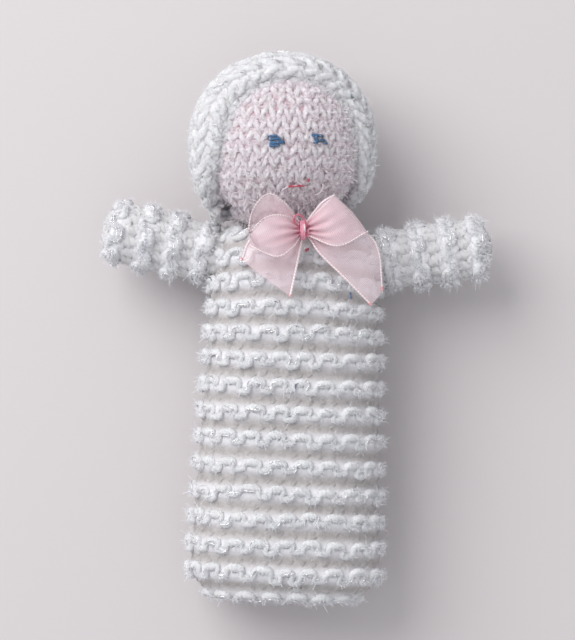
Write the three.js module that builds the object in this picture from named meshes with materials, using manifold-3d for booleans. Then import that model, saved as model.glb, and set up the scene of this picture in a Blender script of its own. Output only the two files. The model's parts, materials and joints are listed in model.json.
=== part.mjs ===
// A hand-knitted baby doll lying on its back, in millimetres.
// +Z is up out of the chest and +Y runs from the base to the head, so +X is the doll's own left.
// The origin is on the surface that the doll lies on, under the middle of its outline.
import * as THREE from "three";
import { mergeVertices } from "three/addons/utils/BufferGeometryUtils.js";
import Module from "manifold-3d";

// Knitting, yarn and thread
const GARTER_THICKNESS = 2.6;
const RIDGE_PITCH = 4.9;
const RIDGE_HEIGHT = 0.8;
const FACE_KNIT_THICKNESS = 1.8;
const GATHER_YARN = 1.5;
const SEAM_YARN = 1.0;
const SEAM_SWAY = 0.5;
const SEAM_PITCH = 4.9;
const THREAD = 0.5;
const FIT_GAP = 0.3;
const REST_FLAT = 0.5;

// Body: a stuffed sack in garter stitch, drawn in at the base and at the neck
const BODY_LENGTH = 73;
const BASE_WIDTH = 37.8;
const CHEST_WIDTH = 33.4;
const BODY_DEPTH = 25;
const BODY_SQUARENESS = 2.5;
const BASE_ROUND = 6.5;
const SHOULDER_DROP = 14.5;
const NECK_WIDTH = 12.4;
const BODY_LEAN = THREE.MathUtils.degToRad(2.2);
const BASE_GATHER_WIDTH = 7;
const NECK_GATHER_SINK = 0.45;

// Head: a stuffed ball in stocking stitch, turned a little to the doll's left
const HEAD_WIDTH = 30.8;
const HEAD_HEIGHT = 28.6;
const HEAD_DEPTH = 29.6;
const HEAD_SHIFT = -3.2;
const HEAD_RISE = 0.6;
const HEAD_TURN = THREE.MathUtils.degToRad(12);
const NECK_BALL_WIDTH = 9;
const NECK_CLEARANCE = 0.8;
const CROWN_GATHER_WIDTH = 4.6;

// Hood: its edge goes round the face and the nape, as (azimuth from the face, elevation) in degrees
const HOOD_THICKNESS = 2.6;
const HOOD_ROLL = 0.7;
const HOOD_EDGE = [
  [0, 54],
  [49, 33],
  [61, -8],
  [78, -36],
  [98, -48],
  [140, -47],
  [180, -46],
];
const HOOD_CROWN = [180, 25];
const HOOD_SEAM_SPAN = [30, 124];

// Arms: stuffed tubes in garter stitch, each tied to the body at a drawn-in shoulder
const ARM_LENGTH = 21.8;
const ARM_WIDTH = 12.4;
const ARM_DEPTH = 11;
const ARM_SQUARENESS = 2.1;
const HAND_ROUND = 5;
const SHOULDER_TAPER = 8;
const SHOULDER_BEND = [[1, 0.36], [0.58, 0.66]];
const SHOULDER_WALL = 1.3;
const SHOULDER_MOUTH_WIDTH = 3;
const SHOULDER_TIE_WIDTH = 3.2;
const SHOULDER_FROM_NECK = 6.8;
const SHOULDER_STANDOFF = 0.6;
const LEFT_ARM_RAISE = THREE.MathUtils.degToRad(7);
const RIGHT_ARM_RAISE = THREE.MathUtils.degToRad(13);

// Face: embroidered eyes and mouth, from the middle of the head
const EYE_SPACING = 8.5;
const EYE_HEIGHT = -0.8;
const EYE_WIDTH = 3;
const EYE_STRANDS = 4;
const EYE_STRAND_PITCH = 0.85;
const MOUTH_WIDTH = 3.6;
const MOUTH_SHIFT = 0.9;
const MOUTH_HEIGHT = -9.7;
const MOUTH_STRAND_PITCH = 0.6;

// Bow: one length of ribbon pinched by thread, placed from the middle of the neck
const RIBBON_THICKNESS = 0.4;
const BOW_FROM_NECK = -1.9;
const BOW_SHIFT = 1.1;
const BOW_LIFT = 2.4;
const PINCH_WIDTH = 2.2;
const PINCH_HEIGHT = 2.6;
const PINCH_MIDDLE = 1.2;
const BINDING_WIDTH = 3.7;
const THREAD_LOOP_WIDTH = 2;
const THREAD_LOOP_LENGTH = 2.6;
const LOWER_STITCH_LENGTH = 1.8;
const LOWER_STITCH_FROM_BOW = [0.6, -3.7];

// Each stretch of ribbon is the surface between its two woven edges, listed from the pinch outwards.
const RIBBON_STRETCHES = [
  // The loop on the doll's right, open towards the viewer
  {
    upper: [[-0.3, 1, 0.6], [-3.5, 5.2, 2.8], [-6.8, 6.8, 3.8], [-9.6, 3.6, 4.4], [-10.2, -0.6, 4.8],
      [-7.6, 2, 5.8], [-4, 2.8, 5], [-0.6, 0.9, 2]],
    lower: [[-0.3, -0.9, 0.4], [-4.5, -3.5, 1.2], [-8.4, -4.2, 1.6], [-9.6, -3.9, 2.4], [-9.3, -3.2, 3.2],
      [-5, -5, 4.4], [-2.2, -3.4, 3.4], [-0.5, -1, 1.8]],
  },
  // The loop on the doll's left, folded flat
  {
    upper: [[0.3, 0.9, 0.5], [3.2, 3.9, 2.4], [5.6, 6.2, 3.4], [5.9, 6.5, 4], [5.4, 6.3, 4.6],
      [3.4, 5, 5], [0.5, 1.4, 2]],
    lower: [[0.3, -0.8, 0.4], [6, -2.6, 1.4], [11.6, -0.8, 1.4], [12.1, -0.3, 2.1], [11.4, -0.7, 2.9],
      [6.5, -3, 4], [0.8, -0.9, 1.8]],
  },
  // The tail on the doll's right
  {
    upper: [[-0.4, -0.2, 0.2], [-5.5, -1, 0.6], [-9.9, -1.7, 0.2], [-11.7, -5.6, -1]],
    lower: [[-0.1, -0.7, 0.3], [-0.7, -4, 0.8], [-1.4, -7.5, 0.6], [-2.5, -12.6, 0.3]],
  },
  // The tail on the doll's left
  {
    upper: [[0.4, -0.3, 0.2], [6, -0.6, 0.6], [12, -0.8, 0.4], [14.4, -4.1, -0.2], [15.1, -11.5, -1.2]],
    lower: [[0.2, -0.8, 0.3], [1.4, -1.7, 0.6], [3.3, -4.5, 0.9], [8.2, -9.3, 0.4], [13, -14.2, -0.8]],
  },
];

// How finely the round forms are faceted
const BODY_SIDES = 24;
const ARM_SIDES = 16;
const HOOD_SIDES = 28;
const HEAD_SIDES = 22;
const KNOT_SIDES = 12;
const RING_SIDES = 16;
const TUBE_SIDES = 6;
const RIBBON_STEPS = 12;
const RIBBON_COLUMNS = 2;
const LINING_RINGS = 8;

// Finishes
const finish = (color, roughness, options = {}) =>
  new THREE.MeshStandardMaterial({ color, roughness, metalness: 0, ...options });
const whiteYarn = finish(0xece9e4, 0.9);
const pinkYarn = finish(0xe9cfd3, 0.95);
const fibreFilling = finish(0xf4f2ee, 1);
const blueThread = finish(0x2d5b86, 0.6);
const redThread = finish(0xc23a55, 0.6);
const roseThread = finish(0xc9607c, 0.5);
const pinkRibbon = finish(0xf1b9c6, 0.45, { transparent: true, opacity: 0.75 });

const wasm = await Module();
wasm.setup();

// Solids

function toSolid(geometry) {
  const bare = geometry.clone();
  bare.deleteAttribute("normal");
  bare.deleteAttribute("uv");
  const merged = mergeVertices(bare, 1e-4);
  const mesh = new wasm.Mesh({
    numProp: 3,
    vertProperties: merged.attributes.position.array,
    triVerts: new Uint32Array(merged.index.array),
  });
  return new wasm.Manifold(mesh);
}

function toGeometry(solid) {
  const { vertProperties, triVerts } = solid.getMesh();
  const geometry = new THREE.BufferGeometry();
  geometry.setAttribute("position", new THREE.BufferAttribute(vertProperties, 3));
  geometry.setIndex(new THREE.BufferAttribute(triVerts, 1));
  return geometry;
}

function signedVolume(points, faces) {
  const cross = new THREE.Vector3();
  const sixth = ([a, b, c]) => points[a].dot(cross.crossVectors(points[b], points[c])) / 6;
  return faces.reduce((sum, face) => sum + sixth(face), 0);
}

function geometryFrom(points, faces) {
  const outward = signedVolume(points, faces) > 0 ? faces : faces.map(([a, b, c]) => [a, c, b]);
  return new THREE.BufferGeometry().setFromPoints(points).setIndex(outward.flat());
}

// A closed surface through rings of points: the first and last are single points, its two poles.
function closedSurface(rings) {
  const starts = [];
  const points = [];
  for (const ring of rings) {
    starts.push(points.length);
    points.push(...ring);
  }
  const faces = [];
  for (let i = 1; i < rings.length; i++) {
    const count = Math.max(rings[i - 1].length, rings[i].length);
    const at = (row, side) => starts[row] + (rings[row].length === 1 ? 0 : side % count);
    for (let side = 0; side < count; side++) {
      const [a, b] = [at(i - 1, side), at(i - 1, side + 1)];
      const [c, d] = [at(i, side), at(i, side + 1)];
      if (a !== b) faces.push([a, b, c]);
      if (c !== d) faces.push([b, d, c]);
    }
  }
  return geometryFrom(points, faces);
}

function ballGeometry(width, height, depth, sides) {
  return new THREE.SphereGeometry(0.5, sides, sides / 2 + 2).scale(width, height, depth);
}

// A ball of stuffing or yarn that a joint turns on, and the socket cut for it in what it joins.
const knot = (width) => ballGeometry(width, width, width, KNOT_SIDES);
const socketFor = (width) => toSolid(knot(width + 2 * FIT_GAP));

function block(width, height, depth, centre) {
  return toSolid(new THREE.BoxGeometry(width, height, depth).translate(...centre));
}

function tube(points, diameter, steps) {
  const section = new THREE.Shape().absarc(0, 0, diameter / 2, 0, 2 * Math.PI, false);
  const extrudePath = new THREE.CatmullRomCurve3(points);
  const curveSegments = TUBE_SIDES / 2;
  return new THREE.ExtrudeGeometry(section, { steps, curveSegments, bevelEnabled: false, extrudePath });
}

// A ring of yarn about the Y axis, through its middle line's width.
function yarnRing(width, diameter) {
  return new THREE.TorusGeometry(width / 2, diameter / 2, TUBE_SIDES, RING_SIDES).rotateX(Math.PI / 2);
}

// The height of a mesh's upper surface over a point of the plane below it.
function surfaceHeight(mesh, x, y) {
  mesh.updateMatrixWorld(true);
  const above = new THREE.Vector3(x, y, 100);
  const hits = new THREE.Raycaster(above, new THREE.Vector3(0, 0, -1)).intersectObject(mesh);
  return hits[0].point.z;
}

function piece(name, geometry, material) {
  const mesh = new THREE.Mesh(geometry, material.clone());
  mesh.name = name;
  return mesh;
}

// Knitted sacks: each is drawn from its closed end at y = 0 to its open mouth

function sackRing(sack, t, lift = 0) {
  const at = sack.profile.getPoint(t);
  const along = sack.profile.getTangent(t);
  const power = 2 / sack.squareness;
  const shaped = (value) => Math.sign(value) * Math.abs(value) ** power;
  return Array.from({ length: sack.sides }, (_, i) => {
    const angle = ((i + 0.5) / sack.sides) * 2 * Math.PI;
    const out = lift * sack.ridgeShare(angle);
    const halfWidth = at.x + along.y * out;
    const halfDepth = at.x * sack.depthShare(at.y) + along.y * out;
    const [across, forward] = [shaped(Math.cos(angle)), shaped(Math.sin(angle))];
    return new THREE.Vector3(halfWidth * across, at.y - along.x * out, halfDepth * forward);
  });
}

function sackPole(sack) {
  return [new THREE.Vector3(0, sack.profile.getPoint(0).y, 0)];
}

function smoothRings(sack) {
  const shares = Array.from({ length: LINING_RINGS }, (_, i) => (i + 1) / LINING_RINGS);
  return [sackPole(sack), ...shares.map((share) => sackRing(sack, share))];
}

// Garter stitch: a valley and a raised ring for each ridge, on the outside of the sack's wall.
function garterCover(makeSack) {
  const sack = makeSack(0);
  const ridges = Math.round(sack.profile.getLength() / RIDGE_PITCH);
  const outside = [sackPole(sack)];
  for (let i = 0; i < ridges; i++) {
    if (i > 0) outside.push(sackRing(sack, i / ridges));
    outside.push(sackRing(sack, (i + 0.5) / ridges, RIDGE_HEIGHT));
  }
  outside.push(sackRing(sack, 1));
  return toSolid(closedSurface([...outside, ...smoothRings(makeSack(GARTER_THICKNESS)).reverse()]));
}

function sackFilling(makeSack) {
  const rings = smoothRings(makeSack(GARTER_THICKNESS + FIT_GAP));
  const mouth = new THREE.Vector3(0, rings.at(-1)[0].y, 0);
  return toSolid(closedSurface([...rings, [mouth]]));
}

// The mouth of a sack stays as wide through its wall, and its filling stays clear of that.
const mouthRadius = (width, inset) => width / 2 - Math.max(0, inset - GARTER_THICKNESS);

// A mattress-stitched seam: yarn swaying from side to side along a line, in a groove of its own.
const SEAM_GROOVE_WIDTH = SEAM_YARN + 2 * (SEAM_SWAY + FIT_GAP);
const SEAM_GROOVE_DEPTH = SEAM_YARN + 2 * FIT_GAP;

function seamYarn(pointAt, length) {
  const stitches = 2 * Math.round(length / SEAM_PITCH);
  const points = [];
  for (let i = 0; i <= stitches; i++) points.push(pointAt(i / stitches, i % 2 ? SEAM_SWAY : -SEAM_SWAY));
  return tube(points, SEAM_YARN, stitches * 2);
}

// A seam along the straight back of a sack, let in below the level of the surface there.
function backSeam(from, to, surface, inset) {
  const length = to - from;
  const middle = surface + inset + FIT_GAP + SEAM_YARN / 2;
  const yarn = seamYarn((share, sway) => new THREE.Vector3(sway, from + share * length, middle), length);
  const bottom = surface - RIDGE_HEIGHT - 1;
  const top = surface + inset + SEAM_GROOVE_DEPTH;
  const ends = SEAM_YARN + FIT_GAP;
  const centre = [0, from + length / 2, (bottom + top) / 2];
  return { yarn, groove: block(SEAM_GROOVE_WIDTH, length + 2 * ends, top - bottom, centre) };
}

// Body

function bodySack(inset) {
  const shoulder = BODY_LENGTH - SHOULDER_DROP;
  const [base, chest] = [BASE_WIDTH / 2 - inset, CHEST_WIDTH / 2 - inset];
  const round = BASE_ROUND - inset;
  const neck = mouthRadius(NECK_WIDTH, inset);
  const profile = new THREE.Path();
  profile.moveTo(0, inset);
  profile.lineTo(base - round, inset);
  profile.absarc(base - round, BASE_ROUND, round, -Math.PI / 2, 0, false);
  profile.lineTo(chest, shoulder);
  profile.absellipse(neck, shoulder, chest - neck, SHOULDER_DROP - inset, 0, Math.PI / 2, false, 0);
  const halfWidthAt = (y) => {
    const held = THREE.MathUtils.clamp(y, BASE_ROUND, shoulder);
    return THREE.MathUtils.mapLinear(held, BASE_ROUND, shoulder, base, chest);
  };
  return {
    profile,
    sides: BODY_SIDES,
    squareness: BODY_SQUARENESS,
    depthShare: (y) => (BODY_DEPTH / 2 - inset) / halfWidthAt(y),
    // The ridges are pressed flat along the back, where the doll lies on them.
    ridgeShare: (angle) => THREE.MathUtils.smoothstep(Math.sin(angle), -0.9, -0.3),
  };
}

const NECK_PIVOT = new THREE.Vector3(0, BODY_LENGTH + NECK_CLEARANCE, 0);
const neckSocket = socketFor(NECK_BALL_WIDTH);

function shoulderPivot(side) {
  const shoulder = BODY_LENGTH - SHOULDER_DROP;
  const rise = (BODY_LENGTH - SHOULDER_FROM_NECK - shoulder) / SHOULDER_DROP;
  const neck = NECK_WIDTH / 2;
  const halfWidth = neck + (CHEST_WIDTH / 2 - neck) * Math.sqrt(1 - rise ** 2);
  const out = halfWidth + RIDGE_HEIGHT + SHOULDER_STANDOFF;
  return new THREE.Vector3(side * out, BODY_LENGTH - SHOULDER_FROM_NECK, 0);
}

const tieSocket = socketFor(SHOULDER_TIE_WIDTH);

// A round pit, about the Y axis, for a gathering ring let in flush with the end of a form.
function pitFor(ringWidth, yarn) {
  const radius = (ringWidth + yarn) / 2 + FIT_GAP;
  const depth = yarn + FIT_GAP;
  return new THREE.CylinderGeometry(radius, radius, 2 * depth, RING_SIDES);
}

function makeBody() {
  const back = -BODY_DEPTH / 2;
  const seam = backSeam(BASE_ROUND + SEAM_PITCH, BODY_LENGTH - SHOULDER_DROP, back, REST_FLAT);
  const pit = pitFor(BASE_GATHER_WIDTH, GATHER_YARN);
  const underside = back - BODY_DEPTH / 2 + REST_FLAT;
  const below = block(2 * BASE_WIDTH, 3 * BODY_LENGTH, BODY_DEPTH, [0, 0, underside]);
  const neckRing = yarnRing(NECK_WIDTH + 2 * GATHER_YARN, GATHER_YARN);
  const neckGroove = yarnRing(NECK_WIDTH + 2 * GATHER_YARN, GATHER_YARN + 2 * FIT_GAP);
  const neckRingHeight = BODY_LENGTH - NECK_GATHER_SINK;

  let cover = garterCover(bodySack).subtract(below).subtract(seam.groove).subtract(toSolid(pit));
  cover = cover.subtract(toSolid(neckGroove.translate(0, neckRingHeight, 0)));
  cover = cover.subtract(neckSocket.translate(...NECK_PIVOT));
  for (const side of [-1, 1]) cover = cover.subtract(tieSocket.translate(...shoulderPivot(side)));
  const filling = sackFilling(bodySack).subtract(neckSocket.translate(...NECK_PIVOT));

  const baseRing = yarnRing(BASE_GATHER_WIDTH, GATHER_YARN).translate(0, GATHER_YARN / 2, 0);
  const body = new THREE.Group();
  body.add(
    piece("body_cover", toGeometry(cover), whiteYarn),
    piece("body_filling", toGeometry(filling), fibreFilling),
    piece("body_back_seam", seam.yarn, whiteYarn),
    piece("base_gather_yarn", baseRing, whiteYarn),
    piece("neck_gather_yarn", neckRing.translate(0, neckRingHeight, 0), whiteYarn),
  );
  body.position.z = BODY_DEPTH / 2 - REST_FLAT;
  body.rotation.z = -BODY_LEAN;
  return body;
}

// Head and hood, about the middle of the head

function onHead(direction, lift) {
  const { x, y, z } = direction;
  const across = x / (HEAD_WIDTH / 2 + lift);
  const up = y / (HEAD_HEIGHT / 2 + lift);
  const forward = z / (HEAD_DEPTH / 2 + lift);
  return direction.clone().divideScalar(Math.hypot(across, up, forward));
}

function headBall(lift) {
  const sizes = [HEAD_WIDTH, HEAD_HEIGHT, HEAD_DEPTH].map((size) => size + 2 * lift);
  return toSolid(ballGeometry(...sizes, HEAD_SIDES));
}

function directionAt([azimuth, elevation]) {
  const toRadians = THREE.MathUtils.degToRad;
  return new THREE.Vector3().setFromSphericalCoords(1, toRadians(90 - elevation), toRadians(azimuth));
}

function makeHood() {
  const mirrored = HOOD_EDGE.slice(1, -1).map(([azimuth, elevation]) => [-azimuth, elevation]);
  const loop = new THREE.CatmullRomCurve3([...HOOD_EDGE, ...mirrored.reverse()].map(directionAt), true);
  const edge = Array.from({ length: HOOD_SIDES }, (_, i) => loop.getPoint(i / HOOD_SIDES).normalize());
  const crown = directionAt(HOOD_CROWN);
  const ring = (share, lift) =>
    edge.map((start) => {
      const arc = start.angleTo(crown);
      const fromEdge = start.clone().multiplyScalar(Math.sin((1 - share) * arc));
      return onHead(fromEdge.addScaledVector(crown, Math.sin(share * arc)).normalize(), lift);
    });
  const inner = -HOOD_THICKNESS / 2;
  const outer = FIT_GAP + HOOD_THICKNESS;
  const shares = [0.3, 0.45, 0.6, 0.75, 0.9];
  const inside = [0, 0.15, ...shares].map((share) => ring(share, inner)).reverse();
  const rolledEdge = [ring(0, outer / 2), ring(0.04, outer + HOOD_ROLL), ring(0.14, outer + HOOD_ROLL)];
  const outside = shares.map((share) => ring(share, outer));
  const poles = [inner, outer].map((lift) => [onHead(crown, lift)]);
  const shell = toSolid(closedSurface([poles[0], ...inside, ...rolledEdge, ...outside, poles[1]]));
  return shell.subtract(headBall(FIT_GAP));
}

// The hood's seam runs down the back of the head, in a groove that ends inside the hood's outline.
function hoodSeam() {
  const [from, to] = HOOD_SEAM_SPAN.map(THREE.MathUtils.degToRad);
  const surface = FIT_GAP + HOOD_THICKNESS;
  const middle = surface - REST_FLAT - FIT_GAP - SEAM_YARN / 2;
  const pointAt = (share, sway) => {
    const angle = THREE.MathUtils.lerp(from, to, share);
    const point = onHead(new THREE.Vector3(0, Math.cos(angle), -Math.sin(angle)), middle);
    return point.setX(sway);
  };
  const length = (to - from) * (HEAD_HEIGHT / 2 + middle);
  const reach = HEAD_HEIGHT;
  const slab = block(SEAM_GROOVE_WIDTH, 2 * reach, reach, [0, 0, -reach / 2]);
  const floor = headBall(surface - REST_FLAT - SEAM_GROOVE_DEPTH);
  return { yarn: seamYarn(pointAt, length), groove: slab.subtract(floor) };
}

// An embroidered feature: thread laid through points of the face, just clear of the knitting.
function embroidery(face, points) {
  const lift = FIT_GAP + THREAD / 2;
  const laid = points.map(([x, y]) => new THREE.Vector3(x, y, surfaceHeight(face, x, y) + lift));
  return tube(laid, THREAD, 2 * (points.length - 1));
}

function eyePoints(side) {
  const middle = (side * EYE_SPACING) / 2;
  const points = [];
  for (let i = 0; i < EYE_STRANDS; i++) {
    const y = EYE_HEIGHT + (i - (EYE_STRANDS - 1) / 2) * EYE_STRAND_PITCH;
    const ends = i % 2 ? [0.5, 0, -0.5] : [-0.5, 0, 0.5];
    for (const end of ends) points.push([middle + end * EYE_WIDTH, y]);
  }
  return points;
}

// The mouth is one straight stitch that goes across and comes back just above.
function mouthPoints() {
  const [left, right] = [MOUTH_SHIFT - MOUTH_WIDTH / 2, MOUTH_SHIFT + MOUTH_WIDTH / 2];
  const back = MOUTH_HEIGHT + MOUTH_STRAND_PITCH;
  const across = [left, MOUTH_SHIFT, right].map((x) => [x, MOUTH_HEIGHT]);
  return [...across, ...across.map(([x]) => [x, back]).reverse()];
}

function makeHead(neckPivot, headCentre) {
  const head = new THREE.Group();
  head.position.copy(headCentre);
  head.rotation.y = HEAD_TURN;
  head.updateMatrixWorld(true);
  const neck = head.worldToLocal(neckPivot.clone());
  const socket = neckSocket.translate(...neck);
  const crown = [0, HEAD_HEIGHT / 2, 0];
  const pit = toSolid(pitFor(CROWN_GATHER_WIDTH, SEAM_YARN).translate(...crown));
  const seam = hoodSeam();
  const reach = 2 * HEAD_DEPTH;
  const lyingSurface = new THREE.BoxGeometry(reach, reach, reach).translate(0, 0, -headCentre.z - reach / 2);
  const below = toSolid(lyingSurface.rotateY(-HEAD_TURN));

  const cover = headBall(0).subtract(headBall(-FACE_KNIT_THICKNESS)).subtract(socket).subtract(pit);
  const filling = headBall(-FACE_KNIT_THICKNESS - FIT_GAP).subtract(socket);
  const crownRing = yarnRing(CROWN_GATHER_WIDTH, SEAM_YARN).translate(0, crown[1] - SEAM_YARN / 2, 0);
  const face = piece("head_cover", toGeometry(cover), pinkYarn);
  head.add(
    face,
    piece("head_filling", toGeometry(filling), fibreFilling),
    piece("crown_gather_yarn", crownRing, pinkYarn),
    piece("hood", toGeometry(makeHood().subtract(seam.groove).subtract(below)), whiteYarn),
    piece("hood_back_seam", seam.yarn, whiteYarn),
    piece("left_eye", embroidery(face, eyePoints(1)), blueThread),
    piece("right_eye", embroidery(face, eyePoints(-1)), blueThread),
    piece("mouth", embroidery(face, mouthPoints()), redThread),
  );
  return head;
}

// Arms, each about the tie at its shoulder

function armSack(inset) {
  const half = ARM_WIDTH / 2 - inset;
  const round = HAND_ROUND - inset;
  const taper = SHOULDER_TAPER - FIT_GAP - SHOULDER_WALL * inset;
  const start = ARM_LENGTH - SHOULDER_TAPER;
  const profile = new THREE.Path();
  profile.moveTo(0, inset);
  profile.lineTo(half - round, inset);
  profile.absarc(half - round, HAND_ROUND, round, -Math.PI / 2, 0, false);
  profile.lineTo(half, start);
  const bend = SHOULDER_BEND.flatMap(([width, height]) => [width * half, start + height * taper]);
  profile.bezierCurveTo(...bend, mouthRadius(SHOULDER_MOUTH_WIDTH, inset), start + taper);
  return {
    profile,
    sides: ARM_SIDES,
    squareness: ARM_SQUARENESS,
    depthShare: () => (ARM_DEPTH / 2 - inset) / half,
    ridgeShare: () => 1,
  };
}

function makeArm(name, pivot, direction) {
  const seam = backSeam(HAND_ROUND + SEAM_YARN, ARM_LENGTH - SHOULDER_TAPER - SEAM_YARN, -ARM_DEPTH / 2, 0);
  const socket = tieSocket.translate(0, ARM_LENGTH, 0);
  const cover = garterCover(armSack).subtract(seam.groove).subtract(socket);
  const tie = knot(SHOULDER_TIE_WIDTH).translate(0, ARM_LENGTH, 0);
  const arm = new THREE.Group();
  arm.add(
    piece(`${name}_shoulder_tie`, tie, whiteYarn),
    piece(`${name}_arm_cover`, toGeometry(cover), whiteYarn),
    piece(`${name}_arm_filling`, toGeometry(sackFilling(armSack).subtract(socket)), fibreFilling),
    piece(`${name}_arm_seam`, seam.yarn, whiteYarn),
  );
  for (const mesh of arm.children) mesh.geometry.translate(0, -ARM_LENGTH, 0);
  arm.rotation.z = direction + Math.PI / 2;
  arm.position.copy(pivot);
  return arm;
}

// Bow, about the middle of its pinch

function ribbonStretch({ upper, lower }) {
  const curve = (points) => new THREE.CatmullRomCurve3(points.map((point) => new THREE.Vector3(...point)));
  const [top, bottom] = [curve(upper), curve(lower)];
  const rings = [];
  for (let i = 0; i <= RIBBON_STEPS; i++) {
    const t = i / RIBBON_STEPS;
    const [a, b] = [top.getPoint(t), bottom.getPoint(t)];
    const along = top.getTangent(t).add(bottom.getTangent(t));
    const normal = along.cross(b.clone().sub(a)).setLength(RIBBON_THICKNESS / 2);
    const row = Array.from({ length: RIBBON_COLUMNS + 1 }, (_, k) => a.clone().lerp(b, k / RIBBON_COLUMNS));
    const front = row.map((point) => point.clone().add(normal));
    const back = row.map((point) => point.clone().sub(normal)).reverse();
    rings.push([...front, ...back]);
  }
  const middles = [0, 1].map((t) => [top.getPoint(t).lerp(bottom.getPoint(t), 0.5)]);
  return toSolid(closedSurface([middles[0], ...rings, middles[1]]));
}

function threadLoop(height) {
  const half = THREAD_LOOP_WIDTH / 2;
  const points = [[-0.3, 0.2, 0], [-1, 0.7, 0.2], [0, 1, 0.3], [1, 0.7, 0.2], [0.5, 0.2, 0]];
  const length = THREAD_LOOP_LENGTH;
  const place = ([x, y, z]) => new THREE.Vector3(half * (x - 0.5), length * y, height + half * z);
  return tube(points.map(place), THREAD, 12);
}

function makeBow() {
  const pinch = ballGeometry(PINCH_WIDTH, PINCH_HEIGHT, PINCH_HEIGHT, KNOT_SIDES);
  let ribbon = toSolid(pinch.translate(0, 0, PINCH_MIDDLE));
  for (const stretch of RIBBON_STRETCHES) ribbon = ribbon.add(ribbonStretch(stretch));
  const bindingRing = (thread) => {
    return yarnRing(BINDING_WIDTH, thread).rotateZ(Math.PI / 2).translate(0, 0, PINCH_MIDDLE);
  };
  const bindingTop = PINCH_MIDDLE + (BINDING_WIDTH + THREAD) / 2;
  const bow = new THREE.Group();
  bow.add(
    piece("bow_ribbon", toGeometry(ribbon.subtract(toSolid(bindingRing(THREAD + 2 * FIT_GAP)))), pinkRibbon),
    piece("bow_binding_thread", bindingRing(THREAD), roseThread),
    piece("bow_thread_loop", threadLoop(bindingTop + FIT_GAP + THREAD / 2), roseThread),
  );
  return bow;
}

// The stitches that hold the bow stand on the front of the body.
function makeBowStitches(bodyCover, at) {
  const [x, y] = [at.x, at.y];
  const start = new THREE.Vector3(x, y, surfaceHeight(bodyCover, x, y) + FIT_GAP);
  const end = at.clone().setZ(at.z + PINCH_MIDDLE - (BINDING_WIDTH + THREAD) / 2 - FIT_GAP);
  const post = tube([start, start.clone().lerp(end, 0.5), end], THREAD, 4);
  const [shift, drop] = LOWER_STITCH_FROM_BOW;
  const lower = [-0.5, 0, 0.5].map((share) => {
    const [px, py] = [x + shift + share * LOWER_STITCH_LENGTH, y + drop];
    return new THREE.Vector3(px, py, surfaceHeight(bodyCover, px, py) + FIT_GAP + THREAD / 2);
  });
  return [
    piece("bow_anchor_stitch", post, roseThread),
    piece("bow_lower_stitch", tube(lower, THREAD, 8), roseThread),
  ];
}

// The whole doll

function makeDoll() {
  const doll = new THREE.Group();
  const body = makeBody();
  doll.add(body);
  doll.updateMatrixWorld(true);
  const neckPivot = body.localToWorld(NECK_PIVOT.clone());
  const headCentre = new THREE.Vector3(
    neckPivot.x + HEAD_SHIFT,
    neckPivot.y + HEAD_HEIGHT / 2 + HEAD_RISE,
    HEAD_DEPTH / 2 + FIT_GAP + HOOD_THICKNESS - REST_FLAT,
  );
  doll.add(piece("neck_filling", knot(NECK_BALL_WIDTH).translate(...neckPivot), fibreFilling));
  doll.add(makeHead(neckPivot, headCentre));
  doll.add(makeArm("left", body.localToWorld(shoulderPivot(1)), LEFT_ARM_RAISE));
  doll.add(makeArm("right", body.localToWorld(shoulderPivot(-1)), Math.PI - RIGHT_ARM_RAISE));

  const bow = makeBow();
  const knotPlace = new THREE.Vector3(BOW_SHIFT, BODY_LENGTH + BOW_FROM_NECK, BODY_DEPTH / 2 + BOW_LIFT);
  bow.position.copy(body.localToWorld(knotPlace));
  doll.add(bow, ...makeBowStitches(body.children[0], bow.position));

  const box = new THREE.Box3().setFromObject(doll, true);
  const middle = box.getCenter(new THREE.Vector3());
  doll.position.set(-middle.x, -middle.y, -box.min.z);
  return doll;
}

export default makeDoll();
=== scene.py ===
import json
import math
from typing import NamedTuple

import bpy
import numpy as np
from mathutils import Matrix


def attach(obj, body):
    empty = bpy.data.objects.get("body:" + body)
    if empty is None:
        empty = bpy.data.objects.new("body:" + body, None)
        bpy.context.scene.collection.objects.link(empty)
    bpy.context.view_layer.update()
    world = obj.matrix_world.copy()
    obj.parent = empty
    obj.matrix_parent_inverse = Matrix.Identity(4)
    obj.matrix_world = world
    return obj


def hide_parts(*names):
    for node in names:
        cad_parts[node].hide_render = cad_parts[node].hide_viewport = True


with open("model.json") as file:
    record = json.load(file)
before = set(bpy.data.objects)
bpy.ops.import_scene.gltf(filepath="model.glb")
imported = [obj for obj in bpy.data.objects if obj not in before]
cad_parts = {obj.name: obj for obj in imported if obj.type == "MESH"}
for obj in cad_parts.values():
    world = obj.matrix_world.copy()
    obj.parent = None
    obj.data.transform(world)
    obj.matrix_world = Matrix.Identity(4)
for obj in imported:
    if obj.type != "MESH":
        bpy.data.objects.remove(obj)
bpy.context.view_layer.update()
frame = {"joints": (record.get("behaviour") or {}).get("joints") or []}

MM = 0.001
TURN = 2 * math.pi
chance = np.random.default_rng(11)

# Sizes in millimetres

# Body: a stuffed sack in garter stitch, drawn in at the base and at the neck
BODY_LENGTH = 73.0
BASE_WIDTH = 37.8
CHEST_WIDTH = 33.4
BODY_DEPTH = 25.0
BODY_SQUARENESS = 2.5
BASE_ROUND = 6.5
SHOULDER_DROP = 14.5
SHOULDER_FULLNESS = 2.8
NECK_WIDTH = 12.4
BODY_LEAN = math.radians(2.2)
RIDGE_HEIGHT = 0.8
NECK_CLEARANCE = 0.8
REST_FLAT = 0.5

# Head: a stuffed ball in stocking stitch with full cheeks, turned to the doll's left
HEAD_SIZE = np.array([30.8, 28.6, 29.6])
HEAD_SHIFT = -3.2
HEAD_RISE = 0.6
HEAD_TURN = math.radians(12)
CHEEK_FULLNESS = 2.75
LOWEST_CHEEK = 0.98
HEAD_STEEPEST = 89.5

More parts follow.
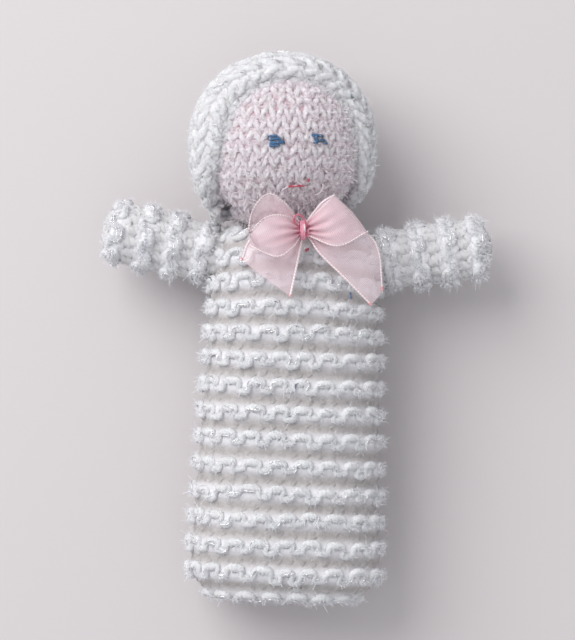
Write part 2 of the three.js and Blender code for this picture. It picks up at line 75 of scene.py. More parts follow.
# Neck: a roll of the head's knitting, drawn in between the head and the body
NECK_ROLL = np.array([10.6, 2.2, 7.4])
NECK_ROLL_SHIFT = np.array([-2.1, 1.1, 1.4])
NECK_STEEPEST = 65

# Hood: its edge and its seam go through places given in degrees, as (azimuth from the face, elevation)
HOOD_LIFT = 0.3
HOOD_THICKNESS = 2.6
HOOD_ROLL_PLACES = [0.0, 0.05, 0.12, 0.2, 0.35]
HOOD_ROLL = [-1.1, 0.1, 0.8, 0.7, 0.0]
HOOD_SEAM_LIFT = 2.3
HOOD_SEAM_SPAN = (30, 124)
HOOD_EDGE = [(98, -48), (78, -36), (61, -8), (49, 33), (0, 54)]
HOOD_SEAM = [(180, -46), (180, -10), (180, 25)]
HOOD_SNUG = 0.35
HOOD_DROP = 2.2
HOOD_DROP_AT_SEAM = 0.25
HOOD_DROP_ROWS = 6

# Arms: stuffed tubes in garter stitch, each sewn to the body at the shoulder
ARM_LENGTH = 21.8
ARM_WIDTH = 12.4
ARM_DEPTH = 11.0
ARM_SQUARENESS = 2.1
HAND_ROUND = 5.0
ARM_ROOT_WIDTH = 10.0
ARM_ROOT_OVERLAP = 4.2
ARM_TOP_OVERLAP = 6.0
SHOULDER_TAPER = 8.0
TAPER_BEND = (0.3, 0.5)
LEFT_ARM_DIRECTION = math.radians(7)
RIGHT_ARM_DIRECTION = math.radians(167)

# Sewing yarn: gathers, seams and shoulder ties
SEAM_YARN = 1.0
SEAM_PITCH = 4.9
SEAM_SWAY = 0.7
SEAM_STEPS = 8
ARM_SEAM_SINK = 0.2
GATHER_YARN = 1.5
BASE_GATHER_WIDTH = 7.0
NECK_GATHER_SINK = 0.45
CROWN_GATHER_WIDTH = 4.6
NECK_BALL_WIDTH = 9.0
SHOULDER_TIE_WIDTH = 3.2
SHOULDER_WRAPS = 5
WRAP_SPIN = 1.6
RING_LAP = 1.02

# Bow: each stretch of ribbon lies between its two woven edges, listed from the pinch outwards
RIBBON_WIDTH = 10.0
RIBBON_THICKNESS = 0.12
SELVEDGE_WIDTH = 0.44
SEALED_WIDTH = SELVEDGE_WIDTH * 1.1
PINCH_WIDTH = 2.2
PINCH_HEIGHT = 2.6
PINCH_MIDDLE = 1.2
BINDING_WIDTH = 3.4
BOW_LIFT = 2.4
THREAD = 0.5
MOUTH_THREAD = THREAD * 0.85
BOW_THREAD = THREAD * 0.8
LOOSE_THREAD = THREAD * 0.7
FINE_THREAD = THREAD * 0.6
RIBBON_STRETCHES = {
    "right_loop": (
        [(-0.3, 1, 0.6), (-3.5, 5.2, 2.8), (-6.8, 6.8, 3.8), (-9.6, 3.6, 4.4), (-10.2, -0.6, 4.8),
         (-7.6, 2, 5.8), (-4, 2.8, 5), (-0.6, 0.9, 2)],
        [(-0.3, -0.9, 0.4), (-4.5, -2.9, 1.2), (-8.2, -3.1, 1.5), (-9.7, -3, 2.2), (-9.5, -3.2, 3.1),
         (-5, -5, 4.4), (-2.2, -3.4, 3.4), (-0.5, -1, 1.8)],
    ),
    "left_loop": (
        [(0.3, 0.9, 0.5), (3.2, 3.9, 2.4), (5.6, 6.2, 3.4), (5.9, 6.5, 4), (5.4, 6.3, 4.6),
         (3.4, 5, 5), (0.5, 1.4, 2)],
        [(0.3, -0.8, 0.4), (6, -2.6, 1.4), (11.6, -0.8, 1.4), (12.1, -0.3, 2.1), (11.4, -0.7, 2.9),
         (6.5, -3, 4), (0.8, -0.9, 1.8)],
    ),
    "right_tail": (
        [(-0.4, -0.2, 0.2), (-5.5, -1, 0.6), (-9.9, -1.7, 0.2), (-11.7, -5.6, -1)],
        [(-0.1, -0.7, 0.3), (-0.7, -4, 0.8), (-1.4, -7.5, 0.6), (-2.5, -12.6, 0.3)],
    ),
    "left_tail": (
        [(0.4, -0.3, 0.2), (6, -0.6, 0.6), (12, -0.8, 0.4), (14.4, -4.1, -0.2), (15.1, -11.5, -1.2)],
        [(0.2, -0.8, 0.3), (1.4, -1.7, 0.6), (3.3, -4.5, 0.9), (8.2, -9.3, 0.4), (13, -14.2, -0.8)],
    ),
}

# The photograph's frame
IMAGE_WIDTH = 575
IMAGE_HEIGHT = 640
PIXELS_PER_MM = 5.15
ORIGIN_PIXEL = (296.7, 328.7)
OUTLINE_HEIGHT = 12.0
CAMERA_HEIGHT = 800.0

# Places that the frame gives
JOINT_PLACE = {joint["name"]: np.array(joint["pos_m"]) / MM for joint in frame["joints"]}
NECK_PLACE = JOINT_PLACE["head_turn"]
BOW_PLACE = np.append(JOINT_PLACE["bow_swivel"][:2], BODY_DEPTH + BOW_LIFT - REST_FLAT)


def turned(points, angle, axis):
    """Points turned about the X, Y or Z axis through the origin."""
    a, b = {"X": (1, 2), "Y": (2, 0), "Z": (0, 1)}[axis]
    points = np.array(points, dtype=float)
    first, second = points[..., a].copy(), points[..., b].copy()
    points[..., a] = first * math.cos(angle) - second * math.sin(angle)
    points[..., b] = first * math.sin(angle) + second * math.cos(angle)
    return points


def from_pixel(x, y, height=OUTLINE_HEIGHT):
    """The place, in millimetres, that a pixel of the photograph shows at a height above the ground."""
    middle_x = (IMAGE_WIDTH / 2 - ORIGIN_PIXEL[0]) / PIXELS_PER_MM
    middle_y = (ORIGIN_PIXEL[1] - IMAGE_HEIGHT / 2) / PIXELS_PER_MM
    nearer = CAMERA_HEIGHT / (CAMERA_HEIGHT + OUTLINE_HEIGHT - height)
    scale = PIXELS_PER_MM * nearer
    return np.array([middle_x + (x - IMAGE_WIDTH / 2) / scale, middle_y + (IMAGE_HEIGHT / 2 - y) / scale])


BODY_UP = turned([0, 1, 0], -BODY_LEAN, "Z")
BASE_PLACE = NECK_PLACE - BODY_UP * (BODY_LENGTH + NECK_CLEARANCE)
HEAD_PLACE = np.array([
    NECK_PLACE[0] + HEAD_SHIFT,
    NECK_PLACE[1] + HEAD_SIZE[1] / 2 + HEAD_RISE,
    HEAD_SIZE[2] / 2 + HOOD_LIFT + HOOD_THICKNESS - REST_FLAT,
])


# Node graphs

class Value:
    """An output of a node, with arithmetic that adds Math nodes to its graph."""

    def __init__(self, graph, socket):
        self.graph = graph
        self.socket = socket

    def math(self, operation, *terms):
        return self.graph.node("ShaderNodeMath", {"operation": operation}, dict(enumerate(terms)))

    def __add__(self, other):
        return self.math("ADD", self, other)

    def __mul__(self, other):
        return self.math("MULTIPLY", self, other)

    def __truediv__(self, other):
        return self.math("DIVIDE", self, other)

    def cosine(self):
        return self.math("COSINE", self)

    def clipped(self, low, high):
        """0 below low, 1 above high, and smooth between them."""
        settings = {"interpolation_type": "SMOOTHSTEP"}
        return self.graph.node("ShaderNodeMapRange", settings, {0: self, 1: low, 2: high})


class Graph:
    """A node tree that grows one node at a time."""

    def __init__(self, tree):
        self.tree = tree

    def node(self, kind, settings=None, inputs=None, output=0):
        node = self.tree.nodes.new(kind)
        for name, value in (settings or {}).items():
            setattr(node, name, value)
        for name, value in (inputs or {}).items():
            if isinstance(value, Value):
                self.tree.links.new(value.socket, node.inputs[name])
            else:
                node.inputs[name].default_value = value
        return Value(self, node.outputs[output]) if len(node.outputs) else None

    def mix(self, factor, *colours):
        """One colour changing into another, each a colour of the screen or another mix."""
        first, second = (linear(*c) if isinstance(c, tuple) else c for c in colours)
        settings = {"data_type": "RGBA"}
        return self.node("ShaderNodeMix", settings, {0: factor, 6: first, 7: second}, output=2)

    def noise(self, place, scale, detail=2.0, roughness=0.5):
        inputs = {"Vector": place, "Scale": scale, "Detail": detail, "Roughness": roughness}
        return self.node("ShaderNodeTexNoise", {}, inputs)

    def attribute(self, name, output):
        return self.node("ShaderNodeAttribute", {"attribute_name": name}, output=output)

    def parts_of(self, vector):
        node = self.tree.nodes.new("ShaderNodeSeparateXYZ")
        self.tree.links.new(vector.socket, node.inputs[0])
        return [Value(self, output) for output in node.outputs]

    def place(self, x, y, z):
        return self.node("ShaderNodeCombineXYZ", {}, {"X": x, "Y": y, "Z": z})


# Materials

def linear(red, green, blue):
    """A colour read off the screen, from 0 to 255, as the shader needs it."""
    shares = np.array([red, green, blue]) / 255
    curve = np.where(shares <= 0.04045, shares / 12.92, ((shares + 0.055) / 1.055) ** 2.4)
    return (*curve.tolist(), 1.0)


class Surface(Graph):
    """The node tree of a new material."""

    def __init__(self, name):
        self.material = bpy.data.materials.new(name)
        self.material.use_nodes = True
        super().__init__(self.material.node_tree)
        self.tree.nodes.clear()

    def object_noise(self, scale, detail, roughness=0.5):
        return self.noise(self.node("ShaderNodeTexCoord", output="Object"), scale, detail, roughness)

    def across(self):
        """Where a point is across its strand, as shares of the radius."""
        return self.parts_of(self.attribute("section", "Vector"))[:2]

    def along(self):
        """How far a point is along its strand, in millimetres."""
        return self.attribute("along", "Fac") / MM

    def streaks(self, across_scale, along_scale, detail, roughness=0.5):
        """Streaks that follow the twist of a strand."""
        x, y = self.across()
        place = self.place(x * across_scale, y * across_scale, self.along() * along_scale)
        return self.noise(place, scale=2.0, detail=detail, roughness=roughness)

    def relief(self, height, strength, depth):
        """Bumps that are a part of a millimetre deep."""
        inputs = {"Height": height, "Strength": strength, "Distance": depth * MM}
        return self.node("ShaderNodeBump", {}, inputs)

    def finish(self, inputs):
        surface = self.node("ShaderNodeBsdfPrincipled", {}, inputs)
        self.node("ShaderNodeOutputMaterial", {}, {"Surface": surface})
        return self.material


def yarn_material(name, light, shade, painted_shade_colour):
    """Spun fibre, with painted shade, a darker colour, where the yarn lies back in the fabric."""
    graph = Surface(name)
    streaks = graph.streaks(2.6, 0.6, detail=3.0, roughness=0.65)
    tone = graph.object_noise(260.0, detail=2.0)
    share = streaks.clipped(0.25, 0.75) * 0.55 + tone.clipped(0.3, 0.7) * 0.45
    return graph.finish({
        # Where the yarn lies back between ridges and stitches, its colour turns darker as painted shade.
        "Base Color": graph.mix(graph.attribute("sunk", "Fac"), graph.mix(share, shade, light), painted_shade_colour),
        "Roughness": streaks * 0.15 + 0.78,
        "Sheen Weight": 0.5,
        "Sheen Roughness": 0.55,
        "Subsurface Weight": 0.3,
        "Subsurface Radius": (1.0, 0.95, 0.92),
        "Subsurface Scale": 0.5 * MM,
        "Specular IOR Level": 0.25,
        "Normal": graph.relief(streaks, strength=1.0, depth=0.3),
    })


def fuzz_material(name, light, shade):
    """Loose ends of fibre, too fine to hide what is behind them."""
    graph = Surface(name)
    tone = graph.object_noise(500.0, detail=1.0)
    return graph.finish({
        "Base Color": graph.mix(tone.clipped(0.3, 0.7), shade, light),
        "Roughness": tone * 0.1 + 0.9,
        "Alpha": 0.6,
        "Specular IOR Level": 0.1,
    })


def glint_material(name):
    """A clear glittering filament: bright, with a grey flash of painted dark reflection here and there."""
    graph = Surface(name)
    painted_reflection_mask = graph.object_noise(330.0, detail=1.0)
    return graph.finish({
        # The grey flashes are painted dark reflection.
        "Base Color": graph.mix(painted_reflection_mask.clipped(0.66, 0.7), (253, 253, 255), (122, 124, 142)),
        "Metallic": 0.85,
        "Roughness": painted_reflection_mask * 0.2 + 0.12,
    })


def matted_material(name, first, second, sunk_share=0.0):
    """Matted fibre: the second colour comes in at random by its tangle, and as painted shade by how far
    back it lies.
    """
    graph = Surface(name)
    tangle = graph.object_noise(900.0, detail=4.0, roughness=0.7)
    # The share from how far back the fibre lies is painted shade.
    share = graph.attribute("sunk", "Fac") * sunk_share + tangle.clipped(0.3, 0.7) * (1 - sunk_share)
    return graph.finish({
        "Base Color": graph.mix(share, first, second),
        "Roughness": tangle * 0.1 + 0.88,
        "Specular IOR Level": 0.15,
        "Normal": graph.relief(tangle, strength=0.8, depth=0.4),
    })


def thread_material(name, light, shade):
    """Fine twisted thread with a slight lustre."""
    graph = Surface(name)
    streaks = graph.streaks(2.5, 1.5, detail=2.0)
    return graph.finish({
        "Base Color": graph.mix(streaks.clipped(0.3, 0.7), shade, light),
        "Roughness": streaks * 0.2 + 0.45,
        "Sheen Weight": 0.15,
        "Normal": graph.relief(streaks, strength=0.4, depth=0.08),
    })


def striped(value, pitch):
    """A wave from 0 to 1 and back, once in each pitch."""
    return (value * (TURN / pitch)).cosine() * 0.5 + 0.5


THREAD_PITCH = 1 / 3.2
SELVEDGE_STRIPE = 0.4


def ribbon_material(name):
    """Sheer ribbon: a plain weave of fine threads, deeper in colour and closer near the pinch."""
    graph = Surface(name)
    lengthwise, crosswise, _ = graph.parts_of(graph.node("ShaderNodeUVMap", {"uv_map": "weave"}))
    warp = striped(crosswise, THREAD_PITCH)
    threads = warp.math("MAXIMUM", warp, striped(lengthwise, THREAD_PITCH))
    gathered = graph.attribute("gathered", "Fac")
    pink = graph.mix(gathered, (253, 223, 232), (244, 146, 172))
    return graph.finish({
        "Base Color": graph.mix(threads * 0.6, pink, (253, 236, 241)),
        "Roughness": threads * -0.15 + 0.5,
        "Alpha": threads * 0.22 + gathered * 0.4 + 0.12,
        "Sheen Weight": 0.3,
        "Normal": graph.relief(threads, strength=0.35, depth=0.06),
    })


def selvedge_material(name):
    """The woven edge of the ribbon: pale cord with a fine slanting stripe."""
    graph = Surface(name)
    x, y = graph.across()
    slant = x.math("ARCTAN2", y, x) * (SELVEDGE_STRIPE / TURN)
    stripe = striped(graph.along() + slant, SELVEDGE_STRIPE)
    return graph.finish({
        "Base Color": graph.mix(stripe.clipped(0.2, 0.8), (247, 219, 225), (255, 247, 248)),
        "Roughness": stripe * -0.15 + 0.5,
        "Sheen Weight": 0.2,
        "Normal": graph.relief(stripe, strength=0.5, depth=0.06),
    })


def pinch_material(name):
    """Ribbon bunched so closely that it is no longer sheer."""
    graph = Surface(name)
    folds = graph.noise(graph.place(*graph.across(), 0.0), scale=5.0)
    return graph.finish({
        "Base Color": graph.mix(folds.clipped(0.35, 0.65), (222, 112, 140), (244, 176, 192)),
        "Roughness": folds * 0.2 + 0.4,
        "Sheen Weight": 0.3,
        "Normal": graph.relief(folds, strength=0.6, depth=0.15),
    })


# How much of the matted sides' darker colour is painted shade by how far back they lie; the rest comes at
# random by their tangle.
BACKING_PAINTED_SHADE_SHARE = 0.8

# The third colour of each yarn is painted shade, where the yarn lies back in the fabric.
WHITE_YARN = yarn_material("white_yarn", (251, 252, 254), (232, 233, 238), (184, 178, 176))
PINK_YARN = yarn_material("pink_yarn", (254, 249, 253), (250, 238, 245), (233, 205, 213))
SEWING_YARN = yarn_material("white_sewing_yarn", (238, 238, 242), (216, 214, 217), (203, 199, 202))
WHITE_FUZZ = fuzz_material("white_fuzz", (252, 252, 254), (240, 240, 245))
PINK_FUZZ = fuzz_material("pink_fuzz", (255, 251, 254), (253, 244, 249))
GLINT = glint_material("glinting_filament")
WHITE_FIBRE = matted_material("white_fibre", (214, 208, 204), (236, 234, 232))
# The matted sides' second colours are darker: painted shade in the valleys and gaps, and their tangle at
# random.
WHITE_BACKING = matted_material("white_matted_yarn", (242, 242, 247), (177, 171, 169), BACKING_PAINTED_SHADE_SHARE)
PINK_BACKING = matted_material("pink_matted_yarn", (246, 224, 232), (228, 186, 195), BACKING_PAINTED_SHADE_SHARE)
BLUE_THREAD = thread_material("blue_thread", (88, 136, 178), (20, 58, 104))
SEALED_RIBBON = thread_material("sealed_ribbon", (243, 176, 184), (234, 142, 152))
RED_THREAD = thread_material("red_thread", (212, 84, 108), (178, 46, 74))
ROSE_THREAD = thread_material("rose_thread", (222, 128, 148), (196, 82, 108))
BINDING_THREAD = thread_material("binding_thread", (246, 178, 198), (236, 144, 170))
PALE_THREAD = thread_material("pale_thread", (250, 243, 247), (232, 214, 222))
SELVEDGE = selvedge_material("ribbon_selvedge")
RIBBON = ribbon_material("sheer_ribbon")
PINCHED_RIBBON = pinch_material("pinched_ribbon")


# Twisted strands: a line of points becomes plied yarn or thread

def strand_tree():
    """Sweeps a lobed section along each line, turned by the line's own twist."""
    tree = bpy.data.node_groups.new("twisted_strand", "GeometryNodeTree")
    kinds = {
        "Lines": "Geometry", "Thickness": "Float", "Ply depth": "Float", "Sides": "Int", "Plies": "Int",
        "Smooth": "Bool", "Material": "Material",
    }
    for name, kind in kinds.items():
        tree.interface.new_socket(name=name, in_out="INPUT", socket_type="NodeSocket" + kind)
    tree.interface.new_socket(name="Strand", in_out="OUTPUT", socket_type="NodeSocketGeometry")
    graph = Graph(tree)
    sockets = tree.nodes.new("NodeGroupInput").outputs
    given = {socket.name: Value(graph, socket) for socket in sockets if socket.name}

    def stored(geometry, name, value, kind):
        settings = {"data_type": kind, "domain": "POINT"}
        inputs = {"Geometry": geometry, "Name": name, "Value": value}
        return graph.node("GeometryNodeStoreNamedAttribute", settings, inputs)

    def named(name):
        return graph.node("GeometryNodeInputNamedAttribute", {"data_type": "FLOAT"}, {"Name": name})

    curve = graph.node("GeometryNodeMeshToCurve", {}, {0: given["Lines"]})
    curve = graph.node("GeometryNodeSetCurveTilt", {}, {"Curve": curve, "Tilt": named("twist")})
    length = graph.node("GeometryNodeSplineParameter", output="Length")
    curve = stored(curve, "along", length, "FLOAT")

    radius = given["Thickness"] * 0.5
    circle = {"Resolution": given["Sides"], "Radius": 1.0}
    section = graph.node("GeometryNodeCurvePrimitiveCircle", {"mode": "RADIUS"}, circle)
    place = graph.node("GeometryNodeInputPosition")
    section = stored(section, "section", place, "FLOAT_VECTOR")
    x, y, _ = graph.parts_of(place)
    angle = x.math("ARCTAN2", y, x)
    reach = radius * ((angle * given["Plies"]).cosine() * given["Ply depth"] + 1.0)
    lobed = graph.place(x * reach, y * reach, 0.0)
    section = graph.node("GeometryNodeSetPosition", {}, {"Geometry": section, "Position": lobed})

    swept = {"Curve": curve, "Profile Curve": section, "Scale": named("swell"), "Fill Caps": True}
    strand = graph.node("GeometryNodeCurveToMesh", {}, swept)
    strand = graph.node("GeometryNodeSetShadeSmooth", {}, {0: strand, "Shade Smooth": given["Smooth"]})
    strand = graph.node("GeometryNodeRealizeInstances", {}, {0: strand})
    strand = graph.node("GeometryNodeSetMaterial", {}, {"Geometry": strand, "Material": given["Material"]})
    graph.node("NodeGroupOutput", {}, {0: strand})
    return tree


STRAND = strand_tree()


def linked(name, data):
    piece = bpy.data.objects.new(name, data)
    bpy.context.scene.collection.objects.link(piece)
    return piece


def store(mesh, name, values):
    """Keeps one number for each point of a mesh."""
    mesh.attributes.new(name, "FLOAT", "POINT")
    mesh.attributes[name].data.foreach_set("value", np.asarray(values, dtype=np.float32))


def reach_along(points):
    """How far each point of a line is from its start."""
    return np.concatenate([[0], np.cumsum(np.linalg.norm(np.diff(points, axis=0), axis=1))])


def line_mesh(name, lines, twist_pitch, phases, swells, sunk):
    """A mesh of loose lines, in metres, with the yarn's twist, swelling and painted shade at each point."""
    counts = [len(line) for line in lines]
    starts = np.cumsum([0, *counts[:-1]])
    edges = [np.stack([np.arange(n - 1), np.arange(1, n)], axis=1) + s for n, s in zip(counts, starts)]
    points, edges = np.concatenate(lines) * MM, np.concatenate(edges)
    mesh = bpy.data.meshes.new(name)
    mesh.vertices.add(len(points))
    mesh.vertices.foreach_set("co", points.astype(np.float32).ravel())
    mesh.edges.add(len(edges))
    mesh.edges.foreach_set("vertices", edges.astype(np.int32).ravel())
    twists = [phase + TURN * reach_along(line) / twist_pitch for line, phase in zip(lines, phases)]
    for attribute, values in [("twist", twists), ("swell", swells), ("sunk", sunk)]:
        store(mesh, attribute, np.concatenate(values))
    return mesh


def strand(name, lines, material, thickness, sides=8, plies=3, ply_depth=0.1, twist_pitch=5.0,
           phases=None, swells=None, sunk=None, smooth=True):
    """One piece made of twisted strands that follow the given lines, in millimetres."""
    phases = np.zeros(len(lines)) if phases is None else phases
    swells = [np.ones(len(line)) for line in lines] if swells is None else swells
    sunk = [np.zeros(len(line)) for line in lines] if sunk is None else sunk
    piece = linked(name, line_mesh(name, lines, twist_pitch, phases, swells, sunk))
    modifier = piece.modifiers.new("strand", "NODES")
    modifier.node_group = STRAND
    values = {
        "Thickness": thickness * MM, "Ply depth": ply_depth, "Sides": sides, "Plies": plies,
        "Smooth": smooth, "Material": material,
    }
    for item in STRAND.interface.items_tree:
        if item.in_out == "INPUT" and item.name in values:
            modifier[item.identifier] = values[item.name]
    depsgraph = bpy.context.evaluated_depsgraph_get()
    made = bpy.data.meshes.new_from_object(piece.evaluated_get(depsgraph))
    piece.modifiers.clear()
    piece.data = made
    made.name = name
    return piece


# Knitted surfaces

def unit(vectors):
    """The vectors' directions."""
    return vectors / np.maximum(np.linalg.norm(vectors, axis=-1, keepdims=True), 1e-9)


def resampled(points, count):
    """The same line through a number of evenly spaced points."""
    points = np.asarray(points, dtype=float)
    reach = reach_along(points)
    wanted = np.linspace(0, reach[-1], count)
    return np.stack([np.interp(wanted, reach, part) for part in points.T], axis=1)


def smooth_curve(points, count, steps=24):
    """A smooth line through the points, as evenly spaced points."""
    points = np.asarray(points, dtype=float)
    padded = np.concatenate([2 * points[:1] - points[1:2], points, 2 * points[-1:] - points[-2:-1]])
    t = np.linspace(0, 1, steps, endpoint=False)[:, None]
    pieces = []
    for a, b, c, d in zip(padded, padded[1:], padded[2:], padded[3:]):
        cubic = 2 * b + (c - a) * t + (2 * a - 5 * b + 4 * c - d) * t**2 + (3 * b - a - 3 * c + d) * t**3
        pieces.append(cubic / 2)
    return resampled(np.concatenate([*pieces, points[-1:]]), count)


class Fabric:
    """A knitted surface as a grid of points: rows along its length, columns across or round it."""

    def __init__(self, grid, closed):
        self.closed = closed
        if closed:
            wrapped = np.concatenate([grid[:, -1:], grid, grid[:, :2]], axis=1)
            across = np.gradient(wrapped, axis=1)[:, 1:-1]
            grid = wrapped[:, 1:-1]
        else:
            across = np.gradient(grid, axis=1)
        self.grid = grid
        normals = unit(np.cross(across, np.gradient(grid, axis=0)))
        self.normals = normals * np.sign(np.sum(normals * (grid - grid.mean(axis=(0, 1)))))
        steps = np.linalg.norm(np.diff(grid, axis=0), axis=2).mean(axis=1)
        self.reach = np.concatenate([[0], np.cumsum(steps)])
        self.length = self.reach[-1]
        self.widths = np.linalg.norm(np.diff(grid, axis=1), axis=2).sum(axis=1)

    def width_at(self, reach):
        return np.interp(reach, self.reach, self.widths)

    def at(self, turn, reach, lift):
        """Points, and the way out of the surface there, at a share of the width and a distance along."""
        columns = self.grid.shape[1] - 1
        turn = np.mod(turn, 1.0) if self.closed else np.clip(turn, 0, 1)
        column = np.minimum(turn * columns, columns - 1e-6)
        row = np.interp(reach, self.reach, np.arange(len(self.reach)))
        row = np.minimum(row, len(self.reach) - 1 - 1e-6)
        c, r = column.astype(int), row.astype(int)
        fc, fr = (column - c)[..., None], (row - r)[..., None]

        def blended(values):
            low = values[r, c] * (1 - fc) + values[r, c + 1] * fc
            high = values[r + 1, c] * (1 - fc) + values[r + 1, c + 1] * fc
            return low * (1 - fr) + high * fr

        normals = unit(blended(self.normals))
        return blended(self.grid) + normals * np.asarray(lift)[..., None], normals


def superellipse_angles(half_width, half_depth, squareness, count, steps=2000):
    """Angles, from the back and round, that cut a squarish oval into equal lengths."""
    angles = np.linspace(0, TURN, steps)
    reach = reach_along(oval(angles, half_width, half_depth, squareness))
    return np.interp(np.linspace(0, reach[-1], count, endpoint=False), reach, angles)


def squared(values, squareness):
    """Sines or cosines that draw a squarish oval instead of an ellipse."""
    return np.sign(values) * np.abs(values) ** (2 / squareness)


def oval(angles, half_width, half_depth, squareness):
    """Points of a squarish oval, from the back and round."""
    x, y = squared(np.array([-np.sin(angles), -np.cos(angles)]), squareness)
    return np.stack([half_width * x, half_depth * y], axis=1)


def sack_grid(profile, depth_share, squareness, rows=150, columns=144):
    """A sack drawn round its own Y axis from a profile of (radius, height)."""
    profile = resampled(profile, rows)
    widest = profile[:, 0].max()
    angles = superellipse_angles(widest, widest * depth_share(profile[rows // 2, 1]), squareness, columns)
    rings = []
    for radius, height in profile:
        ring = oval(angles, radius, radius * depth_share(height), squareness)
        rings.append(np.stack([ring[:, 0], np.full(columns, height), ring[:, 1]], axis=1))
    return np.array(rings)


def arc(centre, half_width, half_height, start, end, fullness=2.0, count=16):
    """A quarter of an ellipse, or of a squarer curve where its fullness is over two."""
    angles = np.radians(np.linspace(start, end, count))
    ways = squared(np.stack([np.cos(angles), np.sin(angles)], axis=1), fullness)
    return (ways * [half_width, half_height] + centre).tolist()


SACK_TIP = 0.01


def body_place(points):
    """Points measured from the middle of the body's base, in the shared frame."""
    return turned(points, -BODY_LEAN, "Z") + BASE_PLACE


def body_grid(inset):
    """The body sack, from the middle of its base to its neck, in the shared frame."""
    shoulder = BODY_LENGTH - SHOULDER_DROP
    base, chest, corner = BASE_WIDTH / 2 - inset, CHEST_WIDTH / 2 - inset, BASE_ROUND - inset
    neck = NECK_WIDTH / 2
    profile = [
        (SACK_TIP, inset),
        *arc((base - corner, BASE_ROUND), corner, corner, -90, 0),
        *arc((neck, shoulder), chest - neck, SHOULDER_DROP - inset, 0, 90, SHOULDER_FULLNESS),
    ]

    def depth_share(height):
        half_width = np.interp(height, [BASE_ROUND, shoulder], [base, chest])
        return (BODY_DEPTH / 2 - inset) / half_width

    return body_place(sack_grid(profile, depth_share, BODY_SQUARENESS))


def arm_grid(inset, place, direction):
    """An arm sack, from the middle of its hand to its shoulder, in the shared frame."""
    half, corner = ARM_WIDTH / 2 - inset, HAND_ROUND - inset
    start = ARM_LENGTH - SHOULDER_TAPER
    root = ARM_ROOT_WIDTH / 2 - inset
    profile = [
        (SACK_TIP, inset),
        *arc((half - corner, HAND_ROUND), corner, corner, -90, 0),
        (half, start),
        (half - TAPER_BEND[0] * (half - root), start + TAPER_BEND[1] * SHOULDER_TAPER),
        (root, ARM_LENGTH),
    ]
    grid = sack_grid(profile, lambda height: (ARM_DEPTH / 2 - inset) / half, ARM_SQUARENESS)
    upward = np.clip(grid[..., 0] * math.cos(direction) / root, 0, 1)
    near_body = np.clip((grid[..., 1] - start) / SHOULDER_TAPER, 0, 1) ** 2
    grid[..., 1] += near_body * (ARM_ROOT_OVERLAP + (ARM_TOP_OVERLAP - ARM_ROOT_OVERLAP) * upward)
    grid[..., 1] -= ARM_LENGTH
    return turned(grid, direction + math.pi / 2, "Z") + place


def on_head(directions, lift):
    """Points of the head's ball with its full cheeks, or of a larger one about it, in given directions."""
    directions = np.asarray(directions)
    half_size = HEAD_SIZE / 2 + np.asarray(lift)[..., None]
    points = directions / np.linalg.norm(directions / half_size, axis=-1, keepdims=True)
    x, y, z = np.moveaxis(points, -1, 0)
    low = np.clip(-y / half_size[..., 1], 0, LOWEST_CHEEK)
    sideways = x * x / (x * x + z * z + 1e-9)
    full = (1 - low ** CHEEK_FULLNESS) ** (1 / CHEEK_FULLNESS) / np.sqrt(1 - low * low)
    wider = 1 + (full - 1) * sideways
    return np.stack([x * wider, y, z * wider], axis=-1)


def head_place(points):
    """Points measured from the middle of the head, in the shared frame."""
    return turned(points, HEAD_TURN, "Y") + HEAD_PLACE


def way_to(azimuth, elevation):
    """The direction at angles in degrees, from the front of the face."""
    azimuth, elevation = np.radians(azimuth), np.radians(elevation)
    level = np.cos(elevation)
    return np.stack([np.sin(azimuth) * level, np.sin(elevation), np.cos(azimuth) * level], axis=-1)


def ball_ways(steepest, rows, columns):
    """Directions from the back of a ball and round, in rows from low to high."""
    elevation = np.linspace(-steepest, steepest, rows)[:, None]
    azimuth = 180 - np.linspace(0, 360, columns, endpoint=False)[None, :]
    return way_to(*np.broadcast_arrays(azimuth, elevation))


def head_grid(lift, rows=90, columns=120):
    """The head's ball, from the neck to the crown."""
    ways = ball_ways(HEAD_STEEPEST, rows, columns)
    return head_place(on_head(ways, np.full((rows, columns), lift)))


def neck_grid(inset, rows=24, columns=90):
    """The drawn-in knitting that joins the head to the body."""
    return ball_ways(NECK_STEEPEST, rows, columns) * (NECK_ROLL - inset) + NECK_PLACE + NECK_ROLL_SHIFT


def hood_grid(lift, rows=120, columns=60):
    """The hood as the flat strip it was knitted: along the face edge, and from there to the back seam."""
    borders = []
    for places in (HOOD_EDGE, HOOD_SEAM):
        half = smooth_curve([way_to(*place) for place in places], rows // 2)
        borders.append(unit(np.concatenate([half, half[-2::-1] * [-1, 1, 1]]))[:, None])
    edge, seam = borders
    share = np.linspace(0, 1, columns)[None, :, None]
    angle = np.arccos(np.clip(np.sum(edge * seam, axis=2, keepdims=True), -1, 1))
    ways = (edge * np.sin((1 - share) * angle) + seam * np.sin(share * angle)) / np.sin(angle)
    rolled = np.interp(share[0, :, 0], HOOD_ROLL_PLACES, HOOD_ROLL)
    grid = on_head(ways, lift + rolled + np.zeros(ways.shape[:2]))
    drop = np.linspace(HOOD_DROP, 0, HOOD_DROP_ROWS, endpoint=False)[:, None, None] * [0, -1, 0]
    drop = drop * np.linspace(1, HOOD_DROP_AT_SEAM, columns)[None, :, None]
    grid = np.concatenate([grid[:1] + drop, grid, grid[-1:] + drop[::-1]])
    return head_place(grid)


# Knitting

class Stitch(NamedTuple):
    """One stitch: its width, the height of a row, how strong its painted shade is and its unevenness."""
    width: float
    row: float
    yarn: float
    depth: float
    tone: float = 1.0
    jitter: float = 1.0


